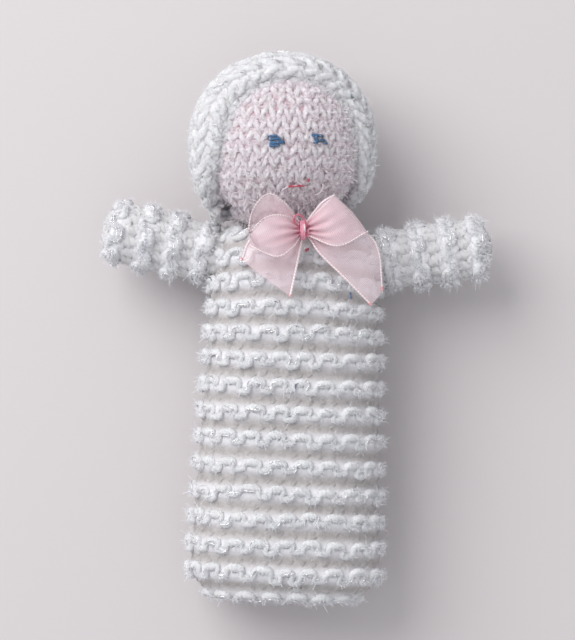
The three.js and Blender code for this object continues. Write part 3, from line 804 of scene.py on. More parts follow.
class Loop(NamedTuple):
    """How yarn runs through one stitch: its reach up and down, its sway, its way forward, its swelling and
    its painted shade.
    """
    reach: float
    spread: float
    crown: float = 0.0
    slant: float = 0.0
    flat: float = 0.0
    forward: float = 0.0
    legs: float = 1.0
    swell: float = 1.0
    bead: tuple = (0, 0)
    sunk: tuple = (0, 0)

    def sideways(self, t):
        return self.spread * np.sin(2 * t) - self.crown * np.sin(t) - self.slant * np.cos(t)

    def upward(self, t):
        wave = -np.cos(t)
        if self.flat:
            wave = np.tanh(self.flat * wave) / np.tanh(self.flat)
        return self.reach * wave

    def lift(self, t):
        return self.forward - self.legs * np.cos(2 * t)

    def swelling(self, t):
        """How thick the yarn is: the first bead value thins its legs, the second fattens its tops."""
        return self.swell * (1 + self.bead[0] * np.cos(2 * t) - self.bead[1] * np.cos(t))

    def tone(self, t):
        """Painted shade where the yarn lies back: the first value at its ends, the second at its legs."""
        return self.sunk[0] * np.cos(t) ** 2 + self.sunk[1] * np.sin(t) ** 2


GARTER = Stitch(width=4.65, row=2.575, yarn=1.7, depth=0.9, jitter=1.4)
# The arms get less painted shade in their valleys than the body.
ARM_GARTER = Stitch(width=4.3, row=2.75, yarn=2.0, depth=0.75, tone=0.4, jitter=1.4)
FACE_STITCH = Stitch(width=2.9, row=2.45, yarn=1.42, depth=0.3, jitter=1.6)
HOOD_STITCH = Stitch(width=4.0, row=3.0, yarn=1.95, depth=0.3)
RIDGE = Loop(reach=0.78, spread=0.52, crown=0.25, slant=0.28, flat=1.2, forward=1.0, legs=0.1, swell=0.87,
             bead=(0.2, 0.1))
# The last value of each of these loops is its painted shade where the yarn lies back.
VALLEY = Loop(reach=1.75, spread=0.75, forward=-0.95, legs=0.0, swell=1.5, sunk=(0.4, 0.9))
FACE_LOOP = Loop(reach=1.85, spread=1.8, sunk=(1.0, 0.0))
HOOD_LOOP = Loop(reach=2.2, spread=1.6, sunk=(0.4, 0.0))


class Row(NamedTuple):
    """One row of yarn: its points, the way out of the fabric, how far out it stands, swelling and painted
    shade.
    """
    points: np.ndarray
    normals: np.ndarray
    lift: np.ndarray
    swell: np.ndarray
    sunk: np.ndarray


STITCH_STEPS = 16
FEWEST_STITCHES = 5
BEND_STEPS = 7

# How uneven hand-made stitches are: sideways, in their height, along the fabric, outwards and in thickness
UNEVEN_WIDTH = 0.05
UNEVEN_HEIGHT = 0.1
UNEVEN_PLACE = 0.05
UNEVEN_LIFT = 0.06
UNEVEN_SWELL = 0.05

# How near to the ends of a fabric its yarn and its backing lie
YARN_START = 0.4
BACKING_START = 0.3
FABRIC_END = 0.05


def knit_row(fabric, stitch, loop, reach, count, bend=None):
    """One row of stitches round or across a fabric, at a distance along it."""
    t = np.linspace(0, TURN * count, count * STITCH_STEPS + 1)

    def uneven(spread):
        """A smooth hand-made unevenness: one chance value a stitch, eased from each to the next."""
        return np.interp(t / TURN, np.arange(count + 1), chance.normal(0, spread, count + 1))

    turn = (t + loop.sideways(t)) / (TURN * count) + uneven(UNEVEN_WIDTH * stitch.jitter / count)
    tall = 1 + uneven(UNEVEN_HEIGHT * stitch.jitter)
    along = reach + tall * loop.upward(t) + uneven(UNEVEN_PLACE * stitch.jitter * stitch.row)
    if bend is not None:
        along = along + bend(turn, reach)
    lift = stitch.depth * loop.lift(t) + uneven(UNEVEN_LIFT)
    points, normals = fabric.at(turn, np.clip(along, YARN_START, fabric.length - FABRIC_END), lift)
    swell = loop.swelling(t) + uneven(UNEVEN_SWELL)
    # The yarn gets painted shade where it lies back in the fabric.
    return Row(points, normals, lift, swell, stitch.tone * loop.tone(t))


def garter_rows(fabric, stitch, first, last, ridge, bend=None):
    """Garter stitch: a row of loops stands forward in a ridge, and the legs of the next row lie back."""
    rows = []
    pairs = round((last - first) / (2 * stitch.row))
    pitch = (last - first) / pairs
    for pair in range(pairs):
        for share, loop in [(ridge, RIDGE), (1 - ridge, VALLEY)]:
            reach = first + (pair + share) * pitch
            count = max(FEWEST_STITCHES, round(fabric.width_at(reach) / stitch.width))
            rows.append(knit_row(fabric, stitch, loop, reach, count, bend))
    return rows


def stocking_rows(fabric, stitch, loop, margins, counts):
    """Stocking stitch: the two legs of each loop stand forward and make a V."""
    first, last = margins[0], fabric.length - margins[1]
    rows = []
    for reach in np.linspace(first, last, round((last - first) / stitch.row) + 1):
        wanted = fabric.width_at(reach) / stitch.width
        around = min(counts, key=lambda count: abs(count - wanted))
        rows.append(knit_row(fabric, stitch, loop, reach, around))
    return rows


def turning_back(rows, out):
    """Joins the rows of a flat strip into one yarn, with a rounded turn at each end."""
    joined = []
    for i, row in enumerate(rows):
        order = slice(None, None, -1 if i % 2 else 1)
        ahead = Row(*(part[order] for part in row))
        if joined:
            last = joined[-1]
            gap = ahead.points[0] - last.points[-1]
            outward = last.points[-1] - last.points[-4]
            outward -= gap * np.dot(outward, gap) / np.dot(gap, gap)
            outward *= out / np.linalg.norm(outward)
            shares = np.linspace(0, 1, BEND_STEPS)[1:-1, None]
            turn = last.points[-1] + gap * shares + outward * np.sin(math.pi * shares)
            ways = np.repeat(last.normals[-1:], len(shares), axis=0)
            same = np.ones(len(shares))
            joined.append(Row(turn, ways, same * last.lift[-1], same * last.swell[-1], same * 0))
        joined.append(ahead)
    return Row(*map(np.concatenate, zip(*joined)))


PRESSED_GAP = 0.08
PRESSED_SHARPNESS = 3


def pressed(rows, yarn):
    """Yarn that lies on the ground is pressed flat there."""
    for row in rows:
        lowest = yarn * row.swell / 2 + PRESSED_GAP
        above = (row.points[:, 2] - lowest) * PRESSED_SHARPNESS
        row.points[:, 2] = lowest + np.logaddexp(0, above) / PRESSED_SHARPNESS


class Yarn:
    """Every point of a piece's yarn, for what is laid on it."""

    def __init__(self, rows, thickness):
        self.points, self.normals, self.lift, swell, _ = map(np.concatenate, zip(*rows))
        self.radius = swell[:, None] * thickness / 2
        self.ahead = unit(np.concatenate([np.gradient(row.points, axis=0) for row in rows]))

    def outward(self, chosen, scatter):
        """Ways straight out of the yarn, mostly towards the outside of the fabric."""
        out = self.normals[chosen] + chance.normal(0, scatter, (len(chosen), 3))
        return unit(out - self.ahead[chosen] * np.sum(out * self.ahead[chosen], axis=1, keepdims=True))


# Loose fibres: their thickness, how they scatter, how deep in the yarn they start, and how few lie back
FIBRE_THICKNESS = 0.1
FACE_FIBRE_THICKNESS = 0.12
FIBRE_SCATTER = 0.9
FIBRE_OUTWARD = 0.6
FIBRE_SPREAD = 0.55
SHORTEST_FIBRE = 0.3
FIBRE_ROOT = 0.9
DEEPEST_FIBRE = 1.0
FIBRE_LEAST = 0.05
GROUND_GAP = 0.1

# Glints: stretches of filament, how far round the yarn they lean, and how far out they lie
FILAMENT_THICKNESS = 0.2
GLINT_STEPS = 6
GLINT_LEAN = 0.9
GLINT_REACH = 1.02
GLINT_LOWEST = 0.2
LONGEST_GLINT_STEP = 1.5


def fuzz_lines(yarn, count, longest):
    """Short ends of fibre all over the outer side of the yarn."""
    weight = np.clip(yarn.lift + DEEPEST_FIBRE, FIBRE_LEAST, None)
    chosen = chance.choice(len(yarn.points), count, p=weight / weight.sum())
    out = yarn.outward(chosen, FIBRE_SCATTER)
    way = FIBRE_OUTWARD * out + chance.normal(0, FIBRE_SPREAD, (count, 3))
    length = longest * chance.uniform(SHORTEST_FIBRE, 1, (count, 1))
    start = yarn.points[chosen] + out * yarn.radius[chosen] * FIBRE_ROOT
    lines = np.stack([start, start + length * way], axis=1)
    lines[..., 2] = np.maximum(lines[..., 2], GROUND_GAP)
    return list(lines)


def glint_lines(yarn, count):
    """Short stretches of filament that show on the outer side of the yarn."""
    chosen = chance.choice(len(yarn.points) - GLINT_STEPS, count)
    chosen = chosen[yarn.lift[chosen] > GLINT_LOWEST * yarn.lift.max()]
    across = np.cross(yarn.ahead, yarn.normals)
    lines = []
    for start in chosen:
        span = slice(start, start + GLINT_STEPS)
        lean = np.linspace(*chance.uniform(-GLINT_LEAN, GLINT_LEAN, 2), GLINT_STEPS)[:, None]
        out = yarn.normals[span] * np.cos(lean) + across[span] * np.sin(lean)
        line = yarn.points[span] + out * yarn.radius[span] * GLINT_REACH
        line[:, 2] = np.maximum(line[:, 2], FILAMENT_THICKNESS)
        if np.diff(reach_along(line)).max() < LONGEST_GLINT_STEP:
            lines.append(line)
    return lines


class Wool(NamedTuple):
    """A colour of yarn: its slot, and the materials of its strands, loose fibres and matted side."""
    slot: str
    yarn: bpy.types.Material
    fuzz: bpy.types.Material
    matted: bpy.types.Material


WHITE = Wool("white_yarn", WHITE_YARN, WHITE_FUZZ, WHITE_BACKING)
PINK = Wool("pink_yarn", PINK_YARN, PINK_FUZZ, PINK_BACKING)


def placed(piece, body, node):
    """A piece on its body, which stands for a node or goes with the pieces there."""
    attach(piece, body)
    if node:
        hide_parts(node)
    return piece


def sewn(name, lines, body, node, slot, material, thickness, **options):
    """A piece of yarn or thread."""
    return placed(strand(name, lines, material, thickness, **options), body, node)


def knitted(name, rows, stitch, body, node, wool, fibre_count, glint_count=0, fibre_length=0.9,
            fibre_thickness=FIBRE_THICKNESS):
    """A knitted piece with its loose fibres, and the filament that glints in its yarn."""
    lines = [row.points for row in rows]
    cover = sewn(name, lines, body, node, wool.slot, wool.yarn, stitch.yarn, sides=9, ply_depth=0.08,
                 twist_pitch=6.0, phases=chance.uniform(0, TURN, len(lines)),
                 swells=[row.swell for row in rows], sunk=[row.sunk for row in rows])
    yarn = Yarn(rows, stitch.yarn)
    sewn(name + "_fibres", fuzz_lines(yarn, fibre_count, fibre_length), body, None, wool.slot, wool.fuzz,
         fibre_thickness, sides=3, ply_depth=0.0, smooth=False)
    if glint_count:
        sewn(name + "_glint", glint_lines(yarn, glint_count), body, None, wool.slot, GLINT,
             FILAMENT_THICKNESS, sides=4, ply_depth=0.0)


def grid_faces(rows, columns, start=0, closed=False):
    """The four-sided faces between the points of a grid, counted row by row from a start."""
    faces = []
    for c in range(columns if closed else columns - 1):
        d = (c + 1) % columns
        for a in range(start, start + (rows - 1) * columns, columns):
            faces.append((a + c, a + d, a + columns + d, a + columns + c))
    return faces


def new_mesh(name, points, faces, material):
    """A smooth mesh from points in millimetres."""
    mesh = bpy.data.meshes.new(name)
    mesh.from_pydata((np.array(points) * MM).tolist(), [], faces)
    mesh.polygons.foreach_set("use_smooth", [True] * len(faces))
    mesh.materials.append(material)
    return mesh


def turn_outward(mesh):
    """Turns a closed mesh's faces over if they face inwards."""
    mesh.calc_loop_triangles()
    points = np.zeros(len(mesh.vertices) * 3)
    mesh.vertices.foreach_get("co", points)
    corners = np.zeros(len(mesh.loop_triangles) * 3, dtype=int)
    mesh.loop_triangles.foreach_get("vertices", corners)
    a, b, c = np.moveaxis(points.reshape(-1, 3)[corners].reshape(-1, 3, 3), 1, 0)
    if np.sum(a * np.cross(b, c)) < 0:
        mesh.flip_normals()


def stuffed(name, grid, body, node, material, sunk=0.0):
    """A closed soft form through a grid of points, drawn to a middle point at each end."""
    rows, columns, _ = grid.shape
    points = [grid[0].mean(axis=0), *grid.reshape(-1, 3), grid[-1].mean(axis=0)]
    last = len(points) - 1
    faces = grid_faces(rows, columns, start=1, closed=True)
    for c in range(columns):
        d = (c + 1) % columns
        faces += [(0, 1 + d, 1 + c), (last, last - columns + c, last - columns + d)]
    mesh = new_mesh(name, points, faces, material)
    turn_outward(mesh)
    # The form's painted shade, kept at each point for its material.
    painted_shades = np.broadcast_to(sunk, (rows, columns))
    store(mesh, "sunk", np.concatenate([painted_shades[0, :1], painted_shades.ravel(), painted_shades[-1, :1]]))
    placed(linked(name, mesh), body, node)


def backed(name, grid, body, wool, sunk):
    """The close, matted side of a piece's knitting, with the painted shade it is given."""
    stuffed(name, grid, body, None, wool.matted, sunk)


def filled(name, grid, body, node):
    """The loose fibre inside a piece."""
    stuffed(name, grid, body, node, WHITE_FIBRE)


BACKING_GROUND_GAP = 0.4
VALLEY_LIFT = 0.22
BULGE = 0.68


def backing_grid(fabric, lift_at, bend=None, *, rows, columns):
    """A grid for the matted side of a fabric, which its yarn stands out of, and how far out that is."""
    ends = (BACKING_START, fabric.length - FABRIC_END)
    reach = np.linspace(*ends, rows)[:, None] + np.zeros((1, columns))
    turn = np.linspace(0, 1, columns, endpoint=not fabric.closed)[None, :] + np.zeros((rows, 1))
    lift = lift_at(reach)
    if bend is not None:
        reach = reach + bend(turn, reach)
    grid = fabric.at(turn, np.clip(reach, *ends), lift)[0]
    grid[..., 2] = np.maximum(grid[..., 2], BACKING_GROUND_GAP)
    return grid, lift


def ridged(stitch, first, last, ridge):
    """How far the matted side stands out, ridge by ridge."""
    pitch = (last - first) / round((last - first) / (2 * stitch.row))

    def lift_at(reach):
        return VALLEY_LIFT + BULGE * (0.5 + 0.5 * np.cos(TURN * ((reach - first) / pitch - ridge)))
    return lift_at


def painted_valley_shade(lift):
    """How much painted shade the matted side gets, from none on a ridge to full in a valley."""
    return 1 - (lift - VALLEY_LIFT) / BULGE


# Body and arms

FILLING_INSET = 2.9
FILLING_GROUND_GAP = 2.4
FIRST_ROW = 5.3
BODY_RIDGE = 0.25
HAND_FIRST_ROW = 1.2
ARM_ROW_OVERRUN = 0.4
ARM_RIDGE = 0.75

# Droop of the chest's rows: how far, where it begins and is full, and how many quarter turns it goes on
CHEST_DROOP = 2.2
DROOP_START = 58
DROOP_FULL = 82
DROOP_QUARTERS = 1.4


def chest_bend(turn, reach):
    """Rows near the shoulders hang lower at the sides than in the middle of the chest."""
    quarters = np.clip(np.abs(turn - 0.5) * 4, 0, DROOP_QUARTERS)
    high = np.clip((reach - DROOP_START) / (DROOP_FULL - DROOP_START), 0, 1)
    return -CHEST_DROOP * high * (1 - np.cos(np.pi * quarters)) / 2


def garter_inset(stitch):
    """How far in the knitting's middle lies, so that its ridges stand where the solid's do."""
    return stitch.depth * RIDGE.forward + stitch.yarn * RIDGE.swelling(math.pi) / 2 - RIDGE_HEIGHT


def make_body():
    fabric = Fabric(body_grid(garter_inset(GARTER)), closed=True)
    pairs = int((fabric.length - FIRST_ROW) / (2 * GARTER.row))
    last = FIRST_ROW + 2 * pairs * GARTER.row
    rows = garter_rows(fabric, GARTER, FIRST_ROW, last, BODY_RIDGE, chest_bend)
    pressed(rows, GARTER.yarn)
    knitted("body_knitting", rows, GARTER, "torso", "body_cover", WHITE, fibre_count=24000, glint_count=900)
    lift_at = ridged(GARTER, FIRST_ROW, last, BODY_RIDGE)
    backing, lift = backing_grid(fabric, lift_at, chest_bend, rows=240, columns=120)
    # The matted side gets painted shade in the valleys between ridges.
    backed("body_knit_backing", backing, "torso", WHITE, painted_valley_shade(lift))
    filling = body_grid(FILLING_INSET)[::3, ::2]
    filling[..., 2] = np.maximum(filling[..., 2], FILLING_GROUND_GAP)
    filled("body_stuffing", filling, "torso", "body_filling")


def make_arm(side, direction):
    arm = f"{side}_arm"
    place = JOINT_PLACE[f"{arm}_raise"]
    fabric = Fabric(arm_grid(garter_inset(ARM_GARTER), place, direction), closed=True)
    last = fabric.length + ARM_ROW_OVERRUN
    rows = garter_rows(fabric, ARM_GARTER, HAND_FIRST_ROW, last, ARM_RIDGE)
    knitted(f"{arm}_knitting", rows, ARM_GARTER, arm, f"{arm}_cover", WHITE, fibre_count=7000,
            glint_count=200)
    lift_at = ridged(ARM_GARTER, HAND_FIRST_ROW, last, ARM_RIDGE)
    backing, lift = backing_grid(fabric, lift_at, rows=80, columns=60)
    # The arm's matted side gets painted shade in the valleys between ridges.
    backed(f"{arm}_knit_backing", backing, arm, WHITE, ARM_GARTER.tone * painted_valley_shade(lift))
    filled(f"{arm}_stuffing", arm_grid(FILLING_INSET, place, direction)[::4, ::4], arm, f"{arm}_filling")


# Head, neck and hood

# Stocking stitch: how many stitches a row may have, and how far the outer rows are from the fabric's ends
FACE_COUNTS = (32, 23, 15, 9, 6)
NECK_COUNTS = (24, 18, 12)
HOOD_COUNTS = (7,)
FACE_MARGINS = (3.0, 2.5)
NECK_MARGINS = (1.5, 1.5)
HOOD_MARGINS = (1.0, 0.8)

# How the face, the hood and their matted sides and filling lie, and the painted shade of the hood's matted
# side
FACE_STANDS_OUT = 0.15
FACE_BACKING_LIFT = 0.12
HEAD_FILLING_INSET = 2.4
NECK_BACKING_INSET = 0.1
HOOD_TURN_OUT = 0.3
HOOD_BACKING_LIFTS = (0.5, -0.7)
HOOD_BACKING_PAINTED_SHADE = 0.35

# The yarn of the hood's edge: how it lies against the face, how it waves from stitch to stitch, and its
# painted shade where it curls under
EDGE_SHARE = 0.03
EDGE_LIFT = -0.3
EDGE_REACH = 0.55
EDGE_SWAY = 0.35
EDGE_RISE = 0.15
EDGE_SWELL = 0.8
EDGE_SWELLING = 0.08
EDGE_PAINTED_SHADE = 0.3


def make_head():
    middle = FACE_STITCH.depth + FACE_STITCH.yarn / 2 - FACE_STANDS_OUT
    fabric = Fabric(head_grid(-middle), closed=True)
    rows = stocking_rows(fabric, FACE_STITCH, FACE_LOOP, FACE_MARGINS, FACE_COUNTS)
    knitted("head_knitting", rows, FACE_STITCH, "head", "head_cover", PINK, fibre_count=22000,
            fibre_length=1.0, fibre_thickness=FACE_FIBRE_THICKNESS)
    backing = head_grid(-middle + FACE_BACKING_LIFT, rows=60, columns=90)
    # The face's matted side, in the gaps between stitches, is given full painted shade.
    backed("head_knit_backing", backing, "head", PINK, sunk=1.0)
    filling = head_grid(-HEAD_FILLING_INSET, rows=40, columns=60)
    filled("head_stuffing", filling, "head", "head_filling")


def make_neck():
    fabric = Fabric(neck_grid(inset=0.0), closed=True)
    rows = stocking_rows(fabric, FACE_STITCH, FACE_LOOP, NECK_MARGINS, NECK_COUNTS)
    knitted("neck_knitting", rows, FACE_STITCH, "neck", None, PINK, fibre_count=6000,
            fibre_length=1.1, fibre_thickness=FACE_FIBRE_THICKNESS)
    # The neck's matted side, in the gaps between stitches, is given full painted shade.
    backed("neck_knit_backing", neck_grid(NECK_BACKING_INSET), "neck", PINK, sunk=1.0)


def curled_edge(fabric, stitch, points=400):
    """The yarn of the face edge, which curls under and meets the face."""
    reach = np.linspace(0, fabric.length, points)
    lift = np.full(points, EDGE_LIFT)
    edge, normals = fabric.at(np.zeros(points), reach, lift)
    behind, _ = fabric.at(np.full(points, EDGE_SHARE), reach, lift)
    wave = np.sin(TURN * reach / stitch.row)
    ahead = (edge - behind) * (EDGE_REACH + EDGE_SWAY * wave)[:, None]
    line = edge + ahead + normals * EDGE_RISE * wave[:, None]
    # The edge yarn gets painted shade where it curls under against the face.
    return Row(line, normals, lift, EDGE_SWELL + EDGE_SWELLING * wave, np.full(points, EDGE_PAINTED_SHADE))


def make_hood():
    fabric = Fabric(hood_grid(HOOD_LIFT + HOOD_THICKNESS / 2 - HOOD_SNUG), closed=False)
    rows = stocking_rows(fabric, HOOD_STITCH, HOOD_LOOP, HOOD_MARGINS, HOOD_COUNTS)
    rows = [turning_back(rows, out=HOOD_STITCH.yarn * HOOD_TURN_OUT), curled_edge(fabric, HOOD_STITCH)]
    pressed(rows, HOOD_STITCH.yarn)
    knitted("hood_knitting", rows, HOOD_STITCH, "head", "hood", WHITE, fibre_count=14000, glint_count=300,
            fibre_length=0.7)
    outer, inner = (backing_grid(fabric, lambda reach: np.full_like(reach, lift), rows=120, columns=40)[0]
                    for lift in HOOD_BACKING_LIFTS)
    around = np.concatenate([outer, inner[:, ::-1]], axis=1)
    backed("hood_knit_backing", around, "head", WHITE, HOOD_BACKING_PAINTED_SHADE)


# Sewing

def ring(radius, height, count=40):
    """A closed ring of yarn about the Y axis, its ends lapped."""
    angles = np.linspace(0, TURN * RING_LAP, count)
    return np.stack([radius * np.cos(angles), np.full(count, height), radius * np.sin(angles)], axis=1)


def ladder(along, place_at, samples):
    """A mattress-stitched seam: yarn that sways from side to side along its line."""
    sway = SEAM_SWAY * np.where(np.arange(len(along)) % 2, 1, -1)
    return smooth_curve([place_at(a, s) for a, s in zip(along, sway)], samples)


def straight_ladder(start, end, height):
    """A seam along the Y axis."""
    stitches = 2 * round((end - start) / SEAM_PITCH)
    return ladder(np.linspace(start, end, stitches + 1), lambda a, s: (s, a, height), stitches * SEAM_STEPS)


SEAM_TWIST = {"slot": "white_yarn", "material": SEWING_YARN, "thickness": SEAM_YARN, "twist_pitch": 3.0}
SEAM_HEIGHT = SEAM_YARN / 2 + GROUND_GAP
HOOD_SEAM_STITCHES = 26


def make_seams():
    seam = body_place(straight_ladder(BASE_ROUND + SEAM_PITCH, BODY_LENGTH - SHOULDER_DROP, 0))
    seam[:, 2] = SEAM_HEIGHT
    sewn("body_back_seam_yarn", [seam], "torso", "body_back_seam", **SEAM_TWIST)

    def behind_head(angle, sway):
        angle = math.radians(angle)
        point = on_head(np.array([0.0, math.cos(angle), -math.sin(angle)]), HOOD_SEAM_LIFT)
        return (sway, point[1], point[2])

    angles = np.linspace(*HOOD_SEAM_SPAN, HOOD_SEAM_STITCHES)
    seam = head_place(ladder(angles, behind_head, HOOD_SEAM_STITCHES * SEAM_STEPS))
    seam[:, 2] = np.maximum(seam[:, 2], SEAM_HEIGHT)
    sewn("hood_back_seam_yarn", [seam], "head", "hood_back_seam", **SEAM_TWIST)


# One draw of the base's gather, as (radius, height)
BASE_DRAWS = 9
BASE_DRAW = [(BASE_GATHER_WIDTH * 0.62, 1.0), (BASE_GATHER_WIDTH * 0.3, 0.3), (0.4, 0.9)]

# The neck's filling: how near its poles it is drawn in, and its lobes' height, number round and slant
BALL_STEEPEST = 1.5
BALL_LOBE = 0.05
BALL_LOBES = 5
BALL_SLANT = 3


def make_gathers():
    yarn = {"slot": "white_yarn", "material": SEWING_YARN, "thickness": GATHER_YARN}
    base = [ring(BASE_GATHER_WIDTH / 2, GATHER_YARN / 2)]
    for angle in np.linspace(0, TURN, BASE_DRAWS, endpoint=False):
        draw = [(r * math.cos(angle), h, r * math.sin(angle)) for r, h in BASE_DRAW]
        base.append(smooth_curve(draw, count=10))
    sewn("base_gather", [body_place(line) for line in base], "torso", "base_gather_yarn", **yarn)
    neck = ring(NECK_WIDTH / 2 + GATHER_YARN, BODY_LENGTH - NECK_GATHER_SINK)
    sewn("neck_gather", [body_place(neck)], "torso", "neck_gather_yarn", **yarn)
    crown = head_place(ring(CROWN_GATHER_WIDTH / 2, HEAD_SIZE[1] / 2 - SEAM_YARN / 2))
    sewn("crown_gather", [crown], "head", "crown_gather_yarn", "pink_yarn", PINK_YARN, SEAM_YARN)

    columns = np.linspace(0, TURN, 36, endpoint=False)[None, :]
    rows = np.linspace(-BALL_STEEPEST, BALL_STEEPEST, 24)[:, None]
    ball = np.stack([np.cos(rows) * np.cos(columns), np.sin(rows) + 0 * columns,
                     np.cos(rows) * np.sin(columns)], axis=2)
    ball = ball * (1 + BALL_LOBE * np.sin(BALL_LOBES * columns + BALL_SLANT * rows))[..., None]
    filled("neck_stuffing", ball * NECK_BALL_WIDTH / 2 + NECK_PLACE, "neck", "neck_filling")


def make_arm_sewing(side, direction):
    place = JOINT_PLACE[f"{side}_arm_raise"]

    def arm_place(points):
        points = np.asarray(points, dtype=float) - [0, ARM_LENGTH, 0]
        return turned(points, direction + math.pi / 2, "Z") + place

    seam = straight_ladder(HAND_ROUND, ARM_LENGTH - SEAM_PITCH / 2, ARM_SEAM_SINK - ARM_DEPTH / 2)
    sewn(f"{side}_arm_seam_yarn", [arm_place(seam)], f"{side}_arm", f"{side}_arm_seam", **SEAM_TWIST)
    wraps = []
    radius = (SHOULDER_TIE_WIDTH - SEAM_YARN) / 2
    for tilt in np.linspace(0, math.pi, SHOULDER_WRAPS, endpoint=False):
        wrap = turned(ring(radius, 0.0), tilt, "X")
        wraps.append(turned(wrap, tilt * WRAP_SPIN, "Y") + place)
    sewn(f"{side}_shoulder_knot", wraps, f"{side}_shoulder", f"{side}_shoulder_tie", **SEAM_TWIST)


# Face

FACE_LIFT = 0.35
STITCH_STEP = 0.04
STITCH_END_SINK = 0.4
STITCH_END_SHARPNESS = 8
STRAY_LIFT = 1.3
THREAD_TWIST = {"plies": 2, "ply_depth": 0.12, "twist_pitch": 1.4}
RIGHT_EYE_STITCHES = [
    [(269.4, 136.1), (277.7, 136.0)], [(269.4, 139.3), (279.7, 138.8)], [(270.6, 142.0), (283.0, 142.8)],
    [(269.0, 144.0), (283.7, 141.6)], [(269.4, 145.8), (279.7, 145.4)], [(276.6, 135.6), (284.3, 143.4)],
]
LEFT_EYE_STITCHES = [
    [(312.3, 134.2), (318.0, 141.4)], [(313.5, 142.6), (324.2, 139.6)], [(315.0, 135.2), (322.6, 135.9)],
    [(316.5, 133.6), (317.2, 143.2)], [(325.2, 142.8), (326.8, 143.4)],
]
MOUTH_STITCHES = [[(287.8, 186.6), (297.0, 186.0), (306.5, 186.0)], [(308.0, 181.2), (309.2, 179.6)]]
MOUTH_ENDS = [[(281.0, 191.3), (284.6, 188.6), (288.4, 186.5)]]
STRAY_PIXELS = [(322.6, 183.6), (323.0, 188.0), (319.4, 193.6), (313.6, 195.4)]
BLUE_END_PIXELS = [(350.6, 293.6, 21.8), (351.0, 295.8, 23.7), (351.4, 298.4, 24.3)]


def face_height(x, y, steps=800):
    """How high the front of the head's ball is, over a place on the ground."""
    heights = np.linspace(HEAD_PLACE[2], HEAD_PLACE[2] + HEAD_SIZE[2] / 2, steps)
    places = np.stack([np.full(steps, x), np.full(steps, y), heights], axis=1) - HEAD_PLACE
    inside = np.linalg.norm(turned(places, -HEAD_TURN, "Y") / (HEAD_SIZE / 2), axis=1) < 1
    return heights[inside][-1]


def on_face(pixels, lift):
    """A line laid on the face through the places that the photograph shows at the pixels."""
    points = []
    for pixel in pixels:
        height = HEAD_SIZE[2]
        for _ in range(3):
            x, y = from_pixel(*pixel, height)
            height = face_height(x, y)
        points.append((x, y, height + lift))
    line = smooth_curve(points, count=14)
    dip = np.linspace(-1, 1, len(line)) ** STITCH_END_SHARPNESS
    line[:, 2] -= dip * (lift + STITCH_END_SINK)
    return line


def make_face():
    for side, stitches in [("right", RIGHT_EYE_STITCHES), ("left", LEFT_EYE_STITCHES)]:
        lines = [on_face(stitch, FACE_LIFT + STITCH_STEP * i) for i, stitch in enumerate(stitches)]
        sewn(f"{side}_eye_stitches", lines, "head", f"{side}_eye", "blue_thread", BLUE_THREAD, THREAD,
             **THREAD_TWIST)
    lines = [on_face(stitch, FACE_LIFT) for stitch in MOUTH_STITCHES]
    sewn("mouth_stitch", lines, "head", "mouth", "red_thread", RED_THREAD, MOUTH_THREAD, **THREAD_TWIST)
    lines = [on_face(stitch, FACE_LIFT) for stitch in MOUTH_ENDS]
    sewn("mouth_thread_end", lines, "head", None, "rose_thread", PALE_THREAD, FINE_THREAD)
    stray = [on_face(STRAY_PIXELS, FACE_LIFT + STRAY_LIFT)]
    sewn("cheek_stray_filament", stray, "head", None, "white_yarn", PALE_THREAD, FINE_THREAD)
    end = smooth_curve([(*from_pixel(x, y, z), z) for x, y, z in BLUE_END_PIXELS], count=8)
    sewn("chest_blue_thread_end", [end], "torso", None, "blue_thread", BLUE_THREAD, LOOSE_THREAD)


# Bow

PLEATS = 4
PLEAT_DEPTH = 0.6
PLEAT_REACH = 4.2
PLEAT_START = 0.4
BILLOW = 0.5
BILLOW_REACH = 8
GATHER_START = 1.0
GATHER_REACH = 3.2
SHANK_SPAN = (20.6, 26.3)
SHANK_SPREAD = (0.9, 0.3)
SHANK_STRANDS = 4
SHANK_TURNS = 7
PINCH_FLARE = (0.82, 0.35)
PINCH_POINTS = 15
BINDING_TURNS = 3
BINDING_POINTS = 90
BINDING_SPREAD = 0.45

# Stitches of the bow, as pixels of the photograph and a rise above the thread's place
THREAD_LOOP_PIXELS = [(299.0, 227.5, -0.1), (296.6, 224.6, 0.3), (293.8, 219.2, 0.7), (297.7, 214.6, 0.9),
                      (302.6, 217.0, 0.7), (306.6, 224.6, 0.3), (305.0, 227.8, -0.1)]
WHITE_STITCH_PIXELS = [(304.4, 224.6, -0.1), (304.6, 228.0, 0.6), (304.9, 231.4, -0.2)]
LOWER_STITCH_PIXELS = [(305.0, 251.4, -0.5), (307.0, 250.0, 0.1), (309.0, 248.8, -0.5)]
LOWER_STITCH_HEIGHT = 24.3


def ribbon_sheet(upper, lower, steps=56, columns=20):
    """One stretch of ribbon between its edges, with pleats that fade away from the pinch."""
    upper, lower = smooth_curve(upper, steps), smooth_curve(lower, steps)
    across = np.linspace(0, 1, columns)[None, :, None]
    grid = upper[:, None] * (1 - across) + lower[:, None] * across
    reach = reach_along(grid.mean(axis=1))
    normals = unit(np.cross(np.gradient(grid, axis=0), np.gradient(grid, axis=1)))
    from_pinch = np.linalg.norm(grid - [0, 0, PINCH_MIDDLE], axis=2, keepdims=True)
    near = np.exp(-(from_pinch / PLEAT_REACH - PLEAT_START) ** 2)
    pleats = PLEAT_DEPTH * near * np.cos(TURN * PLEATS * across) * np.sin(math.pi * across) ** 0.5
    billow = BILLOW * np.sin(math.pi * across) * np.clip(from_pinch / BILLOW_REACH, 0, 1)
    facing = np.sign(normals[..., 2:].mean(axis=1, keepdims=True) + 1e-6)
    grid = grid + normals * facing * (pleats + billow)
    weave = np.stack(np.broadcast_arrays(reach[:, None], across[..., 0] * RIBBON_WIDTH), axis=2)
    gathered = np.exp(-np.clip(from_pinch[..., 0] - GATHER_START, 0, None) / GATHER_REACH)
    return grid + BOW_PLACE, normals, weave, gathered, reach[-1]


